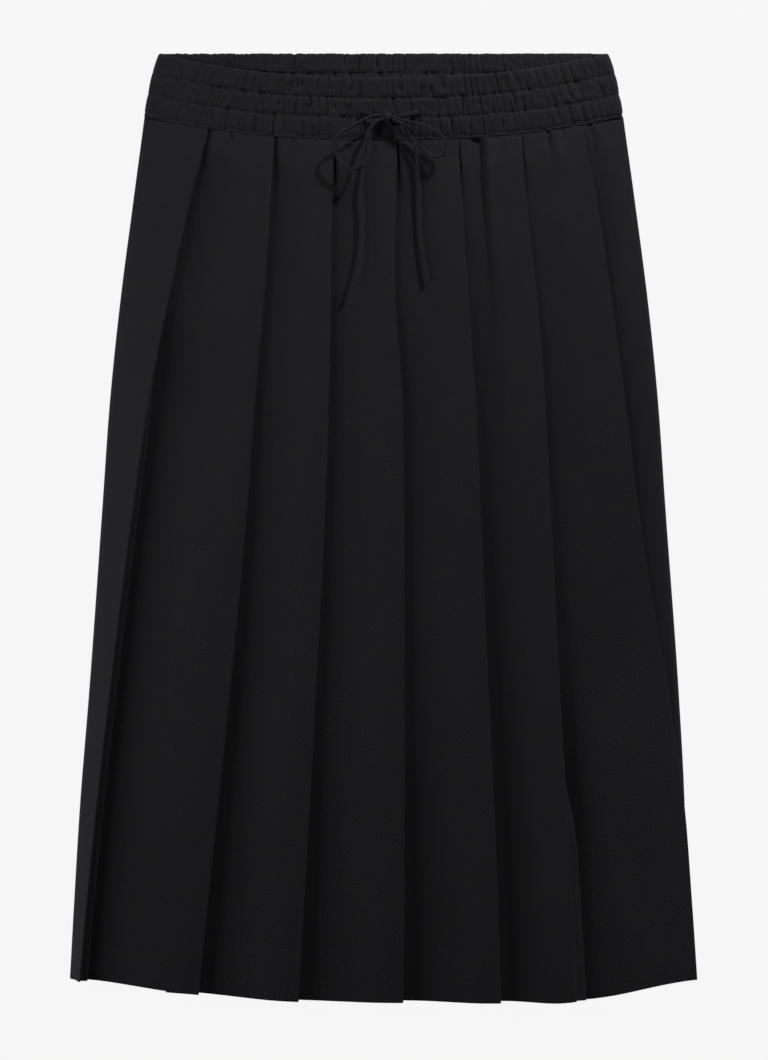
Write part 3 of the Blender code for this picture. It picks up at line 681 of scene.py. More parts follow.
def softened(x, z, passes=8):
    """Each point moved to the mean of itself and its two neighbours, a few times, with both ends kept."""
    line = np.stack([x, z])
    for _ in range(passes):
        line[:, :, 1:-1] = 0.5 * line[:, :, 1:-1] + 0.25 * (line[:, :, :-2] + line[:, :, 2:])
    return line


def left_side(edge, ridge, high, inward):
    """Round the left side, until it is as steep as the panel above it, and on up the panel to fold 1."""
    floor = np.full(len(edge), BACK_FLOOR)
    top = FRONT_FLOOR + LEFT_SHOULDER * (high - FRONT_FLOOR)
    steep = LEFT_STRAIGHT * (high - top) / (ridge - edge - inward)
    last_angle = np.degrees(np.arctan2((top - BACK_FLOOR) / 2, inward * steep))
    angles = -90.0 + (np.clip(last_angle, 30.0, 80.0) + 90.0)[:, None] * np.linspace(0, 1, ROUND_POINTS)
    round_x, round_z = side_block(edge, -inward, floor, top, angles)
    share = np.linspace(0.05, 0.98, 44)
    ramp_x = round_x[:, -1:] + share * (ridge - HALF - round_x[:, -1])[:, None]
    start = round_z[:, -1:]
    climb = LEFT_STRAIGHT * share + (1 - LEFT_STRAIGHT) * np.sin(np.pi / 2 * share)
    ramp_z = start + (high[:, None] - start) * climb
    side = softened(np.hstack([round_x, ramp_x]), np.hstack([round_z, ramp_z]))
    return [(*side[:, :, :ROUND_POINTS], 0.0), (*side[:, :, ROUND_POINTS:], (1 + 2 * share) / 3)]


def first_panel(x, crest):
    """From the join along the table, round the left side and up to fold 1."""
    levels = x.shape[1]
    edge, ridge = x[0] + HALF, x[1]
    inward = np.maximum(np.minimum(SIDE_MOST, SIDE_SHARE * (ridge - edge)), LEFT_LEAST)
    inward = np.minimum(inward, LEFT_GROWING)
    join = level_point(BACK_LAST_FOLD + BACK_UNDERLAY, TWO_LAYERS_UP, levels)
    pleat = level_point(BACK_LAST_FOLD, TWO_LAYERS_UP, levels)
    foot = level_point(BACK_LAST_FOLD + BACK_STEPS[-1, 0], BACK_FLOOR, levels)
    return [
        (*line_block(join, pleat, 3), 0.0),
        (*back_steps(BACK_LAST_FOLD, levels), 0.0),
        (*line_block(foot, (edge + inward, foot[1]), 6), 0.0),
        *left_side(edge, ridge, crest[0], inward),
    ]


def last_panel(start, low, x, crest):
    """Out of the last valley, over to the right side, down round it and in along the table."""
    edge, high = x[8] - HALF, crest[7]
    floor = np.full(len(edge), BACK_FLOOR)
    inward = np.minimum(SIDE_MOST, np.maximum(6.0, SIDE_SHARE * (edge - start)))
    share = np.linspace(0, 0.96, 24)
    over_x = start[:, None] + share * (edge - inward - start)[:, None]
    over_z = low[:, None] + (high - low)[:, None] * ease(share)
    side = side_block(edge, inward, floor, high, np.linspace(88, -90, 17))
    table = line_block((edge - inward, floor), (np.full(len(edge), BACK_FIRST_FOLD + 3.0), floor), 6)
    return [(over_x, over_z, 7 + share / 2), (*side, 8.0), (*table, 8.0)]


print("a back panel comes down in", len(BACK_STEPS), "steps")

# %% [markdown]
# ## A panel between two folds
# A pressed panel isn't flat: it leaves its valley softly, steepens and levels out towards its fold
# edge, which a sine raised to a power does. Just below the seam, where the pleat is still held, the
# valley is a narrow slot. Lower down, two folds stand open and climb more steeply.

# %% Middle panels
PANEL_SHARES = np.concatenate([np.linspace(0, 0.2, 14), np.linspace(0.22, 0.98, 40)])
# The share of a panel's width over which it climbs, and the sine's power.
PANEL_CLIMB = (0.9, 2.4)
# Folds that climb otherwise lower down: from and to this distance down, the share, power and swell.
LOW_CLIMBS = {1: (270.0, 340.0, 0.9, 1.3, 0.0), 6: (470.0, 560.0, 0.34, 1.1, 0.22)}
SLOT_LENGTH = 52.0
SLOT_WIDENING = 60.0
# The slot beside each fold: its width, where its V starts and ends below the seam, and the V's depth.
SLOTS = {
    1: (4.0, 0.0, 60.0, 0.5), 2: (3.9, 0.0, 66.0, 0.6), 3: (2.0, 14.0, 52.0, 0.5),
    4: (2.0, 0.0, 50.0, 0.2), 5: (1.0, 0.0, 24.0, 0.0), 6: (1.0, 0.0, 24.0, 0.0),
}


def panel_rise(reach, curve):
    """A panel's climb as a share: a quarter sine to a power, over the first part of its width."""
    return np.sin(np.pi / 2 * np.minimum(1.0, PANEL_SHARES / reach)) ** curve


def panel_climb(k, down):
    """The climb right of fold k at each level: the common one, blended into the fold's own lower down."""
    rise = panel_rise(*PANEL_CLIMB)
    if k in LOW_CLIMBS:
        start_down, end_down, reach, curve, swell = LOW_CLIMBS[k]
        lower = ease((down - start_down) / (end_down - start_down))[:, None]
        rise = rise + lower * (panel_rise(reach, curve) - rise)
        rise = rise + swell * lower * np.sin(np.pi * PANEL_SHARES) ** 2
    return rise


def middle_panel(k, start, low, x, crest, down):
    """Out of the valley right of fold k and up to fold k + 1, out of its slot where it is near the seam."""
    width = (x[k + 1] - HALF - start)[:, None]
    below = down - down[0]
    slot_width, first, last, depth = SLOTS[k]
    slot_width = slot_width * (1 + below / SLOT_WIDENING)[:, None]
    hollow = np.exp(-((PANEL_SHARES * width / slot_width) ** 2))
    rise = panel_climb(k, down)
    rise = rise + np.maximum(1 - hollow - rise, 0) * (1 - ease(below / SLOT_LENGTH))[:, None]
    lens = ease((below - first) / 8.0) * (1 - ease((below - first) / (last - first)))
    z = low[:, None] + (crest[k] - low)[:, None] * rise - (depth * lens)[:, None] * hollow
    return [(start[:, None] + PANEL_SHARES * width, z, k + PANEL_SHARES)]


print("points across a panel:", len(PANEL_SHARES))

# %% [markdown]
# ## Underlays and ledges
# Behind its fold edge the cloth turns back under itself to an inner crease and comes out again.
# Beside the first and the sixth fold part of that hidden cloth shows lower down as a ledge. A ledge
# has two more corners. Higher up they lie on the closed underlay, and they move out smoothly to
# where the ledge is full, so that the number of points is the same at every level.

# %% Underlays and ledges
UNDERLAY_TOP = 20.0
UNDERLAY_HEM = 26.0
SIDE_ROOM = 5.0
LAST_PANEL_ROOM = 12.0
LAST_CREASE_ROOM = 18.0
# A ledge starts and is full at these distances down; its width there and at the hem, and how far its
# back and its edge lie below the fold.
LEDGES = {1: (176.0, 322.0, 3.6, 5.2, 5.0, 6.4), 6: (521.0, 626.0, 6.8, 8.0, 4.0, 8.6)}
LEDGE_BACK = 2.5
LEDGE_CLOSED = (0.15, 0.3)
LEDGE_BENDS = (0.25, -0.25)


def ledge_corners(k, down, tip, inner):
    """Back and edge of a ledge, moved out from two places on the closed underlay as the ledge opens."""
    start, end, width, at_hem, back_depth, edge_depth = LEDGES[k]
    share = ease((down - start) / (end - start))
    width = width + (at_hem - width) * np.clip((down - end) / (LENGTH - end), 0, 1)
    closed = [[t + (i - t) * part for t, i in zip(tip, inner)] for part in LEDGE_CLOSED]
    opened = [(tip[0] - LEDGE_BACK, tip[1] - back_depth), (tip[0] + width, tip[1] - edge_depth)]
    return [
        (c[0] * (1 - share) + o[0] * share, (c[1] + bend) * (1 - share) + o[1] * share)
        for c, o, bend in zip(closed, opened, LEDGE_BENDS)
    ]


def underlay_corners(k, down, tip, x):
    """Where the next panel starts beside fold k, and the corners under it: a ledge's two, the crease."""
    depth = UNDERLAY_TOP + (UNDERLAY_HEM - UNDERLAY_TOP) * down / LENGTH
    start, inner = x[k], np.maximum(x[k] - depth, x[0] + SIDE_ROOM)
    crease_height = np.full(len(down), FRONT_FLOOR + PRESSED_RADIUS)
    ledge = []
    if k in LEDGES:
        ledge = ledge_corners(k, down, tip, (inner, crease_height))
        start = np.maximum(start, ledge[1][0])
    if k == 7:
        right = table_at(down, FOLD_LINES, 9)
        start = np.minimum(start, right - LAST_PANEL_ROOM)
        inner = np.minimum(inner, right - LAST_CREASE_ROOM)
    return start, [*ledge, (inner, crease_height)]


def fold_blocks(corners, k):
    """Fold k: a pressed arc at each corner but the first and last, with short lines between the arcs."""
    blocks = []
    for before, corner, after in zip(corners, corners[1:], corners[2:]):
        turn = crease_block(corner, before, after)
        if blocks:
            blocks.append((*line_block(end_of(blocks[-1]), start_of(turn), 2), float(k)))
        blocks.append((*turn, float(k)))
    return [*blocks, (*line_block(end_of(turn), corners[-1], 2), float(k))]


print("underlay in mm at the seam and the hem:", UNDERLAY_TOP, UNDERLAY_HEM)

# %% [markdown]
# ## The whole section
# Now the blocks are laid end to end: the left side, then a fold and a panel seven times, and the
# join at the right under the back's first pleat. Each block also carries its front line, a number
# that runs from 0 at the left side to 8 at the right, from which the hem takes its shape.

# %% Front section
LAST_PANEL_DROP = 2.6


def columns_in(blocks):
    """How many points the blocks have at one level."""
    return sum(b[0].shape[1] for b in blocks)


def right_join(before, levels):
    """Round the back's first fold edge and in to the join, one layer up."""
    tip = level_point(BACK_FIRST_FOLD, BACK_FLOOR + LAYER / 2, levels)
    join = level_point(BACK_FIRST_FOLD + BACK_UNDERLAY, BACK_FLOOR + LAYER, levels)
    return [
        (*crease_block(tip, before, join, LAYER / 2), 8.0),
        (*line_block((tip[0], join[1]), join, 2), 8.0),
        (join[0][:, None], join[1][:, None], 8.0),
    ]


def front_section(down):
    """Middle line of the front at each level: x, z, its front line, and each panel's first column."""
    x = np.stack([table_at(down[k], FOLD_LINES, k + 1) for k in range(9)])
    crest = np.stack([table_at(down[k], CREST_HEIGHTS, k) for k in range(1, 9)])
    crest[6] -= LAST_PANEL_DROP * ease((down[7] - 330.0) / 160.0)
    blocks = first_panel(x, crest)
    panels = {0: columns_in(blocks)}
    for k in range(1, 8):
        tip = (x[k] - HALF, crest[k - 1] - PRESSED_RADIUS)
        start, corners = underlay_corners(k, down[k], tip, x)
        low = np.maximum(FRONT_FLOOR, crest[k - 1] - table_at(down[k], VALLEY_DEPTHS, k))
        if k < 7:
            panel = middle_panel(k, start, low, x, crest, down[k])
        else:
            panel = last_panel(start, low, x, crest)
        blocks += fold_blocks([end_of(blocks[-1]), tip, *corners, start_of(panel[0])], k)
        panels[k] = columns_in(blocks)
        blocks += panel
    blocks += right_join(end_of(blocks[-1]), down.shape[1])
    x, z = (np.concatenate([b[i] for b in blocks], axis=1) for i in range(2))
    front_line = np.concatenate([np.broadcast_to(b[2], b[0].shape[1]) for b in blocks])
    return x, z, front_line, panels


front_x, front_z, front_line, PANEL_FIRST = front_section(line_downs)
print("front section:", front_x.shape[1], "points at", front_x.shape[0], "levels")

# %% [markdown]
# ## Puckers and soft creases
# Where the gathered band is sewn on, the cloth below it puckers: short sharp troughs with a swell
# beside them, which fade down the skirt. Lower down the panels are never quite flat either. Each is
# given in a row of its own: where it starts, how long, wide and deep it is and how it leans.

# %% Puckers and creases
PUCKERS = (
    # x at the seam, length, half width, depth, lean over its length, steeper to the right (1) or left (-1)
    (-183, 30, 2.2, 0.6, -6, 0), (-166, 44, 3, 0.5, -7, 0.3), (-147, 26, 2, 0.6, -4, 0),
    (-120, 28, 2, 2, 1, -0.3), (-101, 34, 2.6, 0.6, -1, 0), (-71.2, 32, 1.9, 1.7, 0.5, -0.4),
    (-54, 40, 2.8, 0.5, 0, 0), (-26.4, 36, 2, 1.3, 2, 0), (-9, 30, 2.4, 0.5, 0, 0),
    (27, 38, 2.6, 0.6, 1, 0), (43, 24, 1.8, 0.7, 0.5, 0), (76, 420, 8.6, 3.9, 24, 0.85),
    (92, 30, 2.4, 0.6, 1, 0), (129.2, 84, 2.8, 2.4, 8, -0.6), (141, 26, 2, 0.6, 2, 0),
    (162.5, 64, 2.6, 1.7, 9, -0.4), (178, 30, 2.2, 0.7, 4, 0),
)
SOFT_CREASES = (
    # x, down, half length, half width, height, lean over its length
    (-176, 128, 46, 9, 0.9, -12), (-120, 190, 70, 12, -0.8, -10),
    (-143, 160, 44, 12, -2.2, -10), (-79, 175, 60, 8, -1, -4),
    (-64, 150, 52, 9, 0.5, -3), (-112, 330, 110, 10, 0.6, -20),
    (-20, 210, 80, 8, 0.5, 1), (34, 190, 66, 8, -0.5, 4),
    (88, 150, 58, 7, 0.7, 9), (141, 130, 50, 8, 0.8, 8),
    (-160, 470, 120, 11, 0.5, -18), (-78, 560, 130, 10, 0.6, -10),
    (-16, 420, 120, 11, -0.5, -1), (52, 520, 140, 9, 0.5, 5),
    (112, 400, 120, 9, -0.6, 8), (176, 330, 100, 12, 0.8, 16),
    (196, 620, 90, 12, -0.7, 14), (-190, 650, 80, 10, 0.5, -8),
    (-36, 690, 60, 9, 0.7, -4), (60, 700, 50, 8, -0.6, 2),
    (128, 690, 60, 8, 0.6, 4), (186, 190, 60, 7, 0.7, 14),
)


def columns_of(table):
    """A table's columns, each ready to be worked out for a whole grid at once."""
    return (np.array(column)[:, None, None] for column in zip(*table))


def pucker_relief(x, below):
    """Sum of troughs exp(-(d/w)^2) with a low swell to the right, each fading with the distance below."""
    start, length, width, depth, lean, steep = columns_of(PUCKERS)
    fade = np.clip(1 - below / length, 0, 1) ** 1.6
    d = x - start - lean * below / length
    spread = width * (0.6 + 1.4 * below / length) * (1 - 0.6 * steep * np.sign(d))
    d = d / spread
    return np.sum(fade * depth * (-np.exp(-d * d) + 0.45 * np.exp(-((d - 2.1) / 1.4) ** 2)), axis=0)


def crease_relief(x, down):
    """Sum of long soft ridges and troughs, each leaning a little: height * exp(-across^2 - along^2)."""
    middle, middle_down, length, width, height, lean = columns_of(SOFT_CREASES)
    along = (down - middle_down) / length
    across = (x - middle - lean * along) / width
    return np.sum(height * np.exp(-across**2 - along**2), axis=0)


print("puckers:", len(PUCKERS), "soft creases:", len(SOFT_CREASES))

# %% [markdown]
# ## Relief of the front
# The puckers and creases are added to the height of what lies on top. Below the seam the folds are
# held down by the stitching, so their height is squashed there and grows over the first 24 mm. The
# topstitching sinks into the cloth, and the turned hem shows as the faintest step.

# %% Relief of the front
SEAM_SQUASH = 0.55
SEAM_SQUASH_LENGTH = 24.0
TOPSTITCH_DOWN = 1.7
TOPSTITCH_DEPTH = 0.5
SEAM_ROLL = 0.9
HEM_ALLOWANCE = 38.0
HEM_RIDGE = 0.12
ON_FRONT_FROM = 4.4


def settle(z):
    """Lower what lies on the table by what the thin cloth leaves under it, fading out 6 mm up."""
    return z - (BACK_FLOOR - HALF) * (1 - ease(z / 6.0))


is_front = front_z[0] > (TWO_LAYERS_UP + FRONT_FLOOR) / 2
seam_down = np.where(is_front, sagging(SEAM_SIDE_DOWN, SEAM_SAG, front_x[0] / SEAM_HALF), SEAM_SIDE_DOWN)
front_down = seam_down + LEVEL_SHARES[:, None] * (hem_down(front_line) - seam_down)
front_below = front_down - seam_down
front_to_hem = front_down[-1] - front_down

squash = SEAM_SQUASH + (1 - SEAM_SQUASH) * ease(front_below / SEAM_SQUASH_LENGTH)
on_front = ease((front_z - ON_FRONT_FROM) / 0.4)
lifted = on_front * (0.35 + 0.65 * ease((front_z - FRONT_FLOOR) / 3.0))
front_height = np.where(front_z > FRONT_FLOOR, FRONT_FLOOR + (front_z - FRONT_FLOOR) * squash, front_z)
uneven = pucker_relief(front_x, front_below) + crease_relief(front_x, front_down)
front_height = front_height + lifted * uneven
stitch_groove = TOPSTITCH_DEPTH * np.exp(-(((front_below - TOPSTITCH_DOWN) / 0.45) ** 2))
seam_roll = SEAM_ROLL * np.exp(-front_below / 0.7)
hem_ridge = HEM_RIDGE * ease((HEM_ALLOWANCE - front_to_hem) / 1.6)
front_height = settle(front_height - on_front * (stitch_groove + seam_roll - hem_ridge))
print("deepest pucker in mm:", round(float(pucker_relief(front_x, front_below).min()), 2))

# %% [markdown]
# ## From a middle line to cloth
# A wall of even thickness is the middle line moved to both sides along its normals. At a corner the
# two neighbouring normals are averaged and stretched so that the thickness stays the same. A
# Solidify modifier does much the same, but here both sides keep their own grid and UVs.

# %% Cloth walls
SHARPEST_CORNER = 0.6
HEM_DOUBLING = 0.34


def offset(x, z, distance):
    """Each level's line moved to its left by a distance: along the mean of the normals on both sides."""
    line = np.stack([x, z], axis=-1)
    along = unit(np.diff(line, axis=1))
    normals = np.stack([-along[..., 1], along[..., 0]], axis=-1)
    first = np.concatenate([normals[:, :1], normals], axis=1)
    last = np.concatenate([normals, normals[:, -1:]], axis=1)
    middle = unit(first + last)
    stretch = 1 / np.maximum(np.sum(middle * first, axis=-1), SHARPEST_CORNER)
    moved = line + middle * (stretch * distance)[..., None]
    return moved[..., 0], moved[..., 1]


def moved_side(x, z, down, distance):
    """The points of the moved line, none of them under the table."""
    moved_x, moved_z = offset(x, z, distance)
    return place(moved_x, down, np.maximum(moved_z, 0.0))


def cloth_uv(x, z, down):
    """U is the distance along the section half-way down, V the distance down."""
    middle = len(x) // 2
    across = run_along(np.stack([x[middle], z[middle]], axis=-1))
    return np.stack(np.broadcast_arrays(across, down), axis=-1)


def flat_area(points):
    """Area of a grid in square metres: the sum of its quads, each as two triangles."""
    a, b, c, d = points[:-1, :-1], points[1:, :-1], points[1:, 1:], points[:-1, 1:]
    halves = [np.linalg.norm(np.cross(p - a, q - a), axis=-1).sum() for p, q in ((b, c), (c, d))]
    return float(sum(halves)) / 2 * MM * MM


def cloth_piece(name, outside, inside, uv, material, replaced):
    """Close a wall of cloth between its outside and its inside."""
    print(name, "area in square metres:", round(flat_area(outside), 4))
    points, both_uv = np.stack([outside, inside]), np.stack([uv, uv])
    return add_piece(name, points, wall_faces(*outside.shape[:2]), both_uv, material, (replaced,))


def skirt_piece(name, x, z, down, to_hem, replaced):
    """A thin wall round the middle line, doubled inside over the hem allowance and rounded at its edge."""
    rounding = np.sqrt(np.clip(1 - (1 - np.clip(to_hem / 0.6, 0.05, 1)) ** 2, 0, 1))
    doubled = HEM_DOUBLING * ease((HEM_ALLOWANCE - to_hem) / 1.5)
    outside = moved_side(x, z, down, HALF * rounding)
    inside = moved_side(x, z, down, -(HALF + doubled) * rounding)
    return cloth_piece(name, outside, inside, cloth_uv(x, z, down), SUITING, replaced), outside


print("cloth thickness in mm:", 2 * HALF)

# %% [markdown]
# ## The front, sewn up
# The hem is turned up inside, so the wall is doubled there, and its lower edge is rounded as a fold is.

# %% Skirt front
skirt_front, front_outside = skirt_piece(
    "skirt_front_cloth", front_x, front_height, front_down, front_to_hem, "skirt_front",
)

# %% [markdown]
# ## The back
# The back is the second length of the same cloth, pleated the same way round. It lies on the table,
# so its pleats are pressed flat: each panel comes down in two steps off the pleat beside it. Its
# two ends are joined to the front inside an underlay, where a maker hides a side seam.

# %% Skirt back
BACK_FOLDS = 8
BACK_BELOW = np.concatenate([np.linspace(0, 620, 32), np.linspace(630, 678, 14), [678.5, 678.8, 679.0]])


def back_section(levels):
    """Middle line of the back, from its join at the right to its join at the left."""
    pitch = (BACK_FIRST_FOLD - BACK_LAST_FOLD) / (BACK_FOLDS - 1)
    start = level_point(BACK_FIRST_FOLD + BACK_UNDERLAY, TWO_LAYERS_UP, levels)
    blocks = [(start[0][:, None], start[1][:, None])]
    for k in range(1, BACK_FOLDS):
        edge = BACK_FIRST_FOLD - k * pitch
        steps = back_steps(BACK_FIRST_FOLD - (k - 1) * pitch, levels)
        tip = level_point(edge, BACK_FLOOR + LAYER / 2, levels)
        inner = (tip[0] + BACK_UNDERLAY, tip[1] + LAYER)
        floor = line_block(end_of(steps), level_point(edge + 3.0, BACK_FLOOR, levels), 4)
        blocks += [steps, floor, crease_block(tip, end_of(floor), inner, LAYER / 2)]
        if k < BACK_FOLDS - 1:
            after = level_point(edge + 1.0, TWO_LAYERS_UP, levels)
            blocks.append(crease_block(inner, tip, after, LAYER / 2))
    join = level_point(BACK_LAST_FOLD + BACK_UNDERLAY, BACK_FLOOR + LAYER, levels)
    blocks.append((join[0][:, None], join[1][:, None]))
    return tuple(np.concatenate([b[i] for b in blocks], axis=1) for i in range(2))


back_x, back_z = back_section(len(BACK_BELOW))
back_down = np.broadcast_to((SEAM_SIDE_DOWN + BACK_BELOW)[:, None], back_x.shape)
skirt_back, _ = skirt_piece(
    "skirt_back_cloth", back_x, settle(back_z), back_down, back_down[-1] - back_down, "skirt_back",
)

# %% [markdown]
# ## The gathered waistband
# The band is cloth folded over three rows of elastic, with a line of stitching between them. The
# elastic draws the cloth in to about two thirds of its width, so each casing is crossed by short
# furrows. A furrow is a narrow trough in the band's height with its own place, lean, depth and
# length, drawn from a seeded random table so that it comes out the same each time. The band calms
# at its left end, where it lies smoothest.

# %% Furrows
FURROW_COUNTS = (84, 88, 66)
FINE_COUNT = 110
# Least and most depth and half width, for the fine furrows and for the others.
FURROW_DEPTHS = {True: (0.25, 0.7), False: (0.5, 2.0)}
FURROW_WIDTHS = {True: (0.45, 0.8), False: (0.8, 1.6)}
RUNS_THROUGH = 0.65


def make_furrows(seed, calm_end):
    """A table of furrows: casing, share across, lean, depth, half width, start, end and wobble."""
    random = np.random.default_rng(seed)
    rows = []
    for casing, count in enumerate(FURROW_COUNTS):
        for fine in (False, True):
            number = FINE_COUNT if fine else count
            steps = random.uniform(0.3, 1.7, number + 1)
            share = (-1 + 2 * np.cumsum(steps) / steps.sum())[:number]
            calm = np.where(calm_end, ease((share + 1.1) / 0.55), 1.0)
            depth = random.uniform(*FURROW_DEPTHS[fine], number)
            lean = np.clip(random.normal(0.0, 1.1, number), -1.5, 1.5) + 1.8 * share
            start = np.where(random.random(number) < RUNS_THROUGH, -0.3, random.uniform(0.0, 0.4, number))
            end = np.where(random.random(number) < RUNS_THROUGH, 1.3, random.uniform(0.75, 1.0, number))
            width = random.uniform(*FURROW_WIDTHS[fine], number)
            wobble = random.uniform(-0.4, 0.4, number)
            depth = depth * (0.4 + 0.6 * calm) * (1 - 0.3 * ease((share - 0.2) / 0.6))
            columns = (np.full(number, casing), share, lean, depth, width, start, end, wobble)
            rows.append(np.stack(columns, axis=1))
    return np.concatenate(rows)


def furrow_relief(x, t, half, furrows):
    """Minus the sum of depth * exp(-|d| / width), a sharp furrow between round swells, in its casing."""
    total = np.zeros(np.broadcast(x, t).shape)
    for casing, share, lean, depth, width, start, end, wobble in furrows:
        inside = t - casing
        fade = ease((inside - start) / 0.3) * ease((end - inside) / 0.3)
        fade = fade * ease((inside + 0.12) / 0.12) * ease((1.12 - inside) / 0.12)
        rows = np.flatnonzero(fade[:, 0] > 0)
        middle = share * half + lean * (inside - 0.5) + wobble * np.sin(np.pi * inside)
        d = np.abs(x[rows] - middle[rows])
        total[rows] -= fade[rows] * depth * np.exp(-d / width)
    return total


FRONT_FURROWS = make_furrows(7, True)
BACK_FURROWS = make_furrows(23, False)
print("furrows on the front band:", len(FRONT_FURROWS))

# %% [markdown]
# ## Casings and sewn lines
# Between its stitched lines each casing stands full over its elastic, and on them it is pinched to
# a narrow groove. A line sewn on stretched elastic never springs back straight, so all of this is
# worked out at a place t down the band that wanders a little. t runs from 0 at the mouth to 3.

# %% Casings and sewn lines
CASING_BULGE = 0.68
SEWN_LINES = (1.0, 2.0, 2.85)
GROOVE_DEPTHS = (0.25, 0.25, 0.7)
GROOVE_WIDTH = 0.035
# How far a sewn line strays, the length of its wave, and where the wave starts.
SEWN_WAVES = ((0.022, 4.3, 0.0), (0.016, 1.9, 1.0), (0.012, 11.0, 0.0))
EDGE_RIPPLE = 0.4
RIPPLE_FADE = 6.0
FIRST_ROWS = [0.0, 0.006, 0.018, 0.036, 0.06, 0.09]
LAST_ROWS = [2.89, 2.92, 2.95, 2.97, 2.985, 3.0]
BAND_ROWS = np.concatenate([FIRST_ROWS, np.linspace(0.14, 2.86, 43), LAST_ROWS])
BAND_T = BAND_ROWS[:, None]


def casing_bulge(t):
    """Full between the sewn lines and pinched on them: 1 - |2 f - 1|^2.6 within each casing."""
    lines = np.array([0.0, *SEWN_LINES])
    i = np.clip(np.searchsorted(lines, t) - 1, 0, len(lines) - 2)
    share = (t - lines[i]) / (lines[i + 1] - lines[i])
    full = 1 - np.abs(2 * np.clip(share, 0, 1) - 1) ** 2.6
    return CASING_BULGE * np.where(t > SEWN_LINES[-1], 0.0, full)


def sewn_groove(t):
    """A narrow groove along each sewn line."""
    lines = zip(SEWN_LINES, GROOVE_DEPTHS)
    return -sum(deep * np.exp(-(((t - line) / GROOVE_WIDTH) ** 2)) for line, deep in lines)


def sewn_relief(x):
    """Casings and grooves, at a place down the band that is moved by three slow waves across it."""
    t = BAND_T
    for height, length, start in SEWN_WAVES:
        t = t + height * np.sin(x / length + start)
    return casing_bulge(t) + sewn_groove(t)


def edge_ripple(x, half, furrows):
    """How far the mouth's edge is drawn down by each furrow that reaches it, fading out down the band."""
    at_edge = furrow_relief(x, np.full_like(BAND_T, 0.3), half, furrows)
    return -EDGE_RIPPLE * at_edge * np.exp(-BAND_T * RIPPLE_FADE)


print("rows down the band:", len(BAND_ROWS))

# %% [markdown]
# ## The band's line
# The front band runs from its turned-under left end, round the side fold, across the front and
# round to the right. Row by row down the band the section is the same line, a little wider each
# time. The edge of the mouth is a soft roll, where the inside and the outside meet in a half circle.

# %% Band line
BAND_WALL = 2.8
BAND_LINES = np.array([
    # distance down at the sides, sag in the middle, half width
    (0.5, 19.2, 177.0), (16.6, 19.7, 182.4), (32.6, 18.7, 185.6), (50.74, 18.9, 189.0),
])
MOUTH_LIFT = 2.4
BAND_TURN = 9.0
BAND_COLUMNS = 800
TALL = 2.275
TOP_CASING = 16.0
LAST_CASING = 18.0
BORDER_LENGTH = 2.0


def band_value(table, part):
    """A column of the band's lines at each row, straight between two lines."""
    return np.interp(BAND_ROWS, np.arange(4.0), table[:, part])[:, None]


def front_band_line():
    """Middle line of the front band at each row: x and z, from its left end underneath to its right end."""
    low, high = BAND_WALL / 2, BAND_WALL / 2 + 2 * TALL
    flat = band_value(BAND_LINES, 2) - low - TALL
    a = np.radians(np.linspace(90, -90, 15))
    round_x = flat + TALL * np.cos(a)
    round_z = np.broadcast_to(low + TALL + TALL * np.sin(a), round_x.shape)
    under = flat - np.array([3.0, 6.0, BAND_TURN])
    share = np.linspace(-1, 1, BAND_COLUMNS)[1:-1]
    x = np.hstack([-under[:, ::-1], -round_x[:, ::-1], share * flat, round_x, under])
    across = high + MOUTH_LIFT * (1 - BAND_T / 3) * (1 - share**2)
    floor = np.full(under.shape, low)
    z = np.hstack([floor, round_z[:, ::-1], across, round_z, floor])
    return x, z, flat


def band_down(x, z):
    """Distance down: each line sags in the middle on top, and runs straight underneath."""
    side, sag, edge = (band_value(BAND_LINES, part) for part in range(3))
    return np.where(z > BAND_WALL / 2 + TALL, sagging(side, sag, x / edge), side)


def mouth_rounding():
    """Share of the half wall left near the mouth's edge: a half circle over the first 1.4 mm."""
    d = np.clip(BAND_T * TOP_CASING / (BAND_WALL / 2), 0.02, 1)
    return np.sqrt(1 - (1 - d) ** 2)


def border_roll():
    """Share of the half wall left near the seam: the band rolls down to the skirt over its last 2 mm."""
    d = np.clip((3 - BAND_T) * LAST_CASING / BORDER_LENGTH, 0, 1)
    return 0.2 + 0.8 * np.sqrt(1 - (1 - d) ** 2)


band_x, band_z, band_flat = front_band_line()
band_drop = band_down(band_x, band_z)
print("band at the mouth and the seam in mm:", [round(float(2 * band_x[i].max())) for i in (0, -1)])

# %% [markdown]
# ## The front band
# The furrows, the casings and the sewn lines are added up as one height on top of the band's half
# wall. Round the two buttonholes the cloth is held flat and cut by a narrow slit with raised lips.

# %% Front band
# Each buttonhole's x, and the places down the band where it starts and ends.
BUTTONHOLES = ((-17.0, 1.43, 2.12), (28.4, 1.43, 2.12))
SLIT_DEPTH = 0.8
LIP_HEIGHT = 0.25


def buttonhole_relief(x, t):
    """A narrow slit at each buttonhole, with a lip on each side: exp(-(d / width)^2) for all three."""
    total = np.zeros(np.broadcast(x, t).shape)
    for middle, start, end in BUTTONHOLES:
        along = ease((t - start) / 0.06) * ease((end - t) / 0.06)
        slit = SLIT_DEPTH * np.exp(-(((x - middle) / 0.5) ** 2))
        lips = LIP_HEIGHT * np.exp(-(((np.abs(x - middle) - 1.4) / 0.8) ** 2))
        total -= along * (slit - lips)
    return total


def held_flat(x, t):
    """1 less a soft patch round each buttonhole, where the furrows are left out."""
    patches = [
        np.exp(-(((x - middle) / 3.0) ** 2)) * ease((t - start) / 0.1) * ease((end - t) / 0.1)
        for middle, start, end in BUTTONHOLES
    ]
    return 1 - sum(patches)


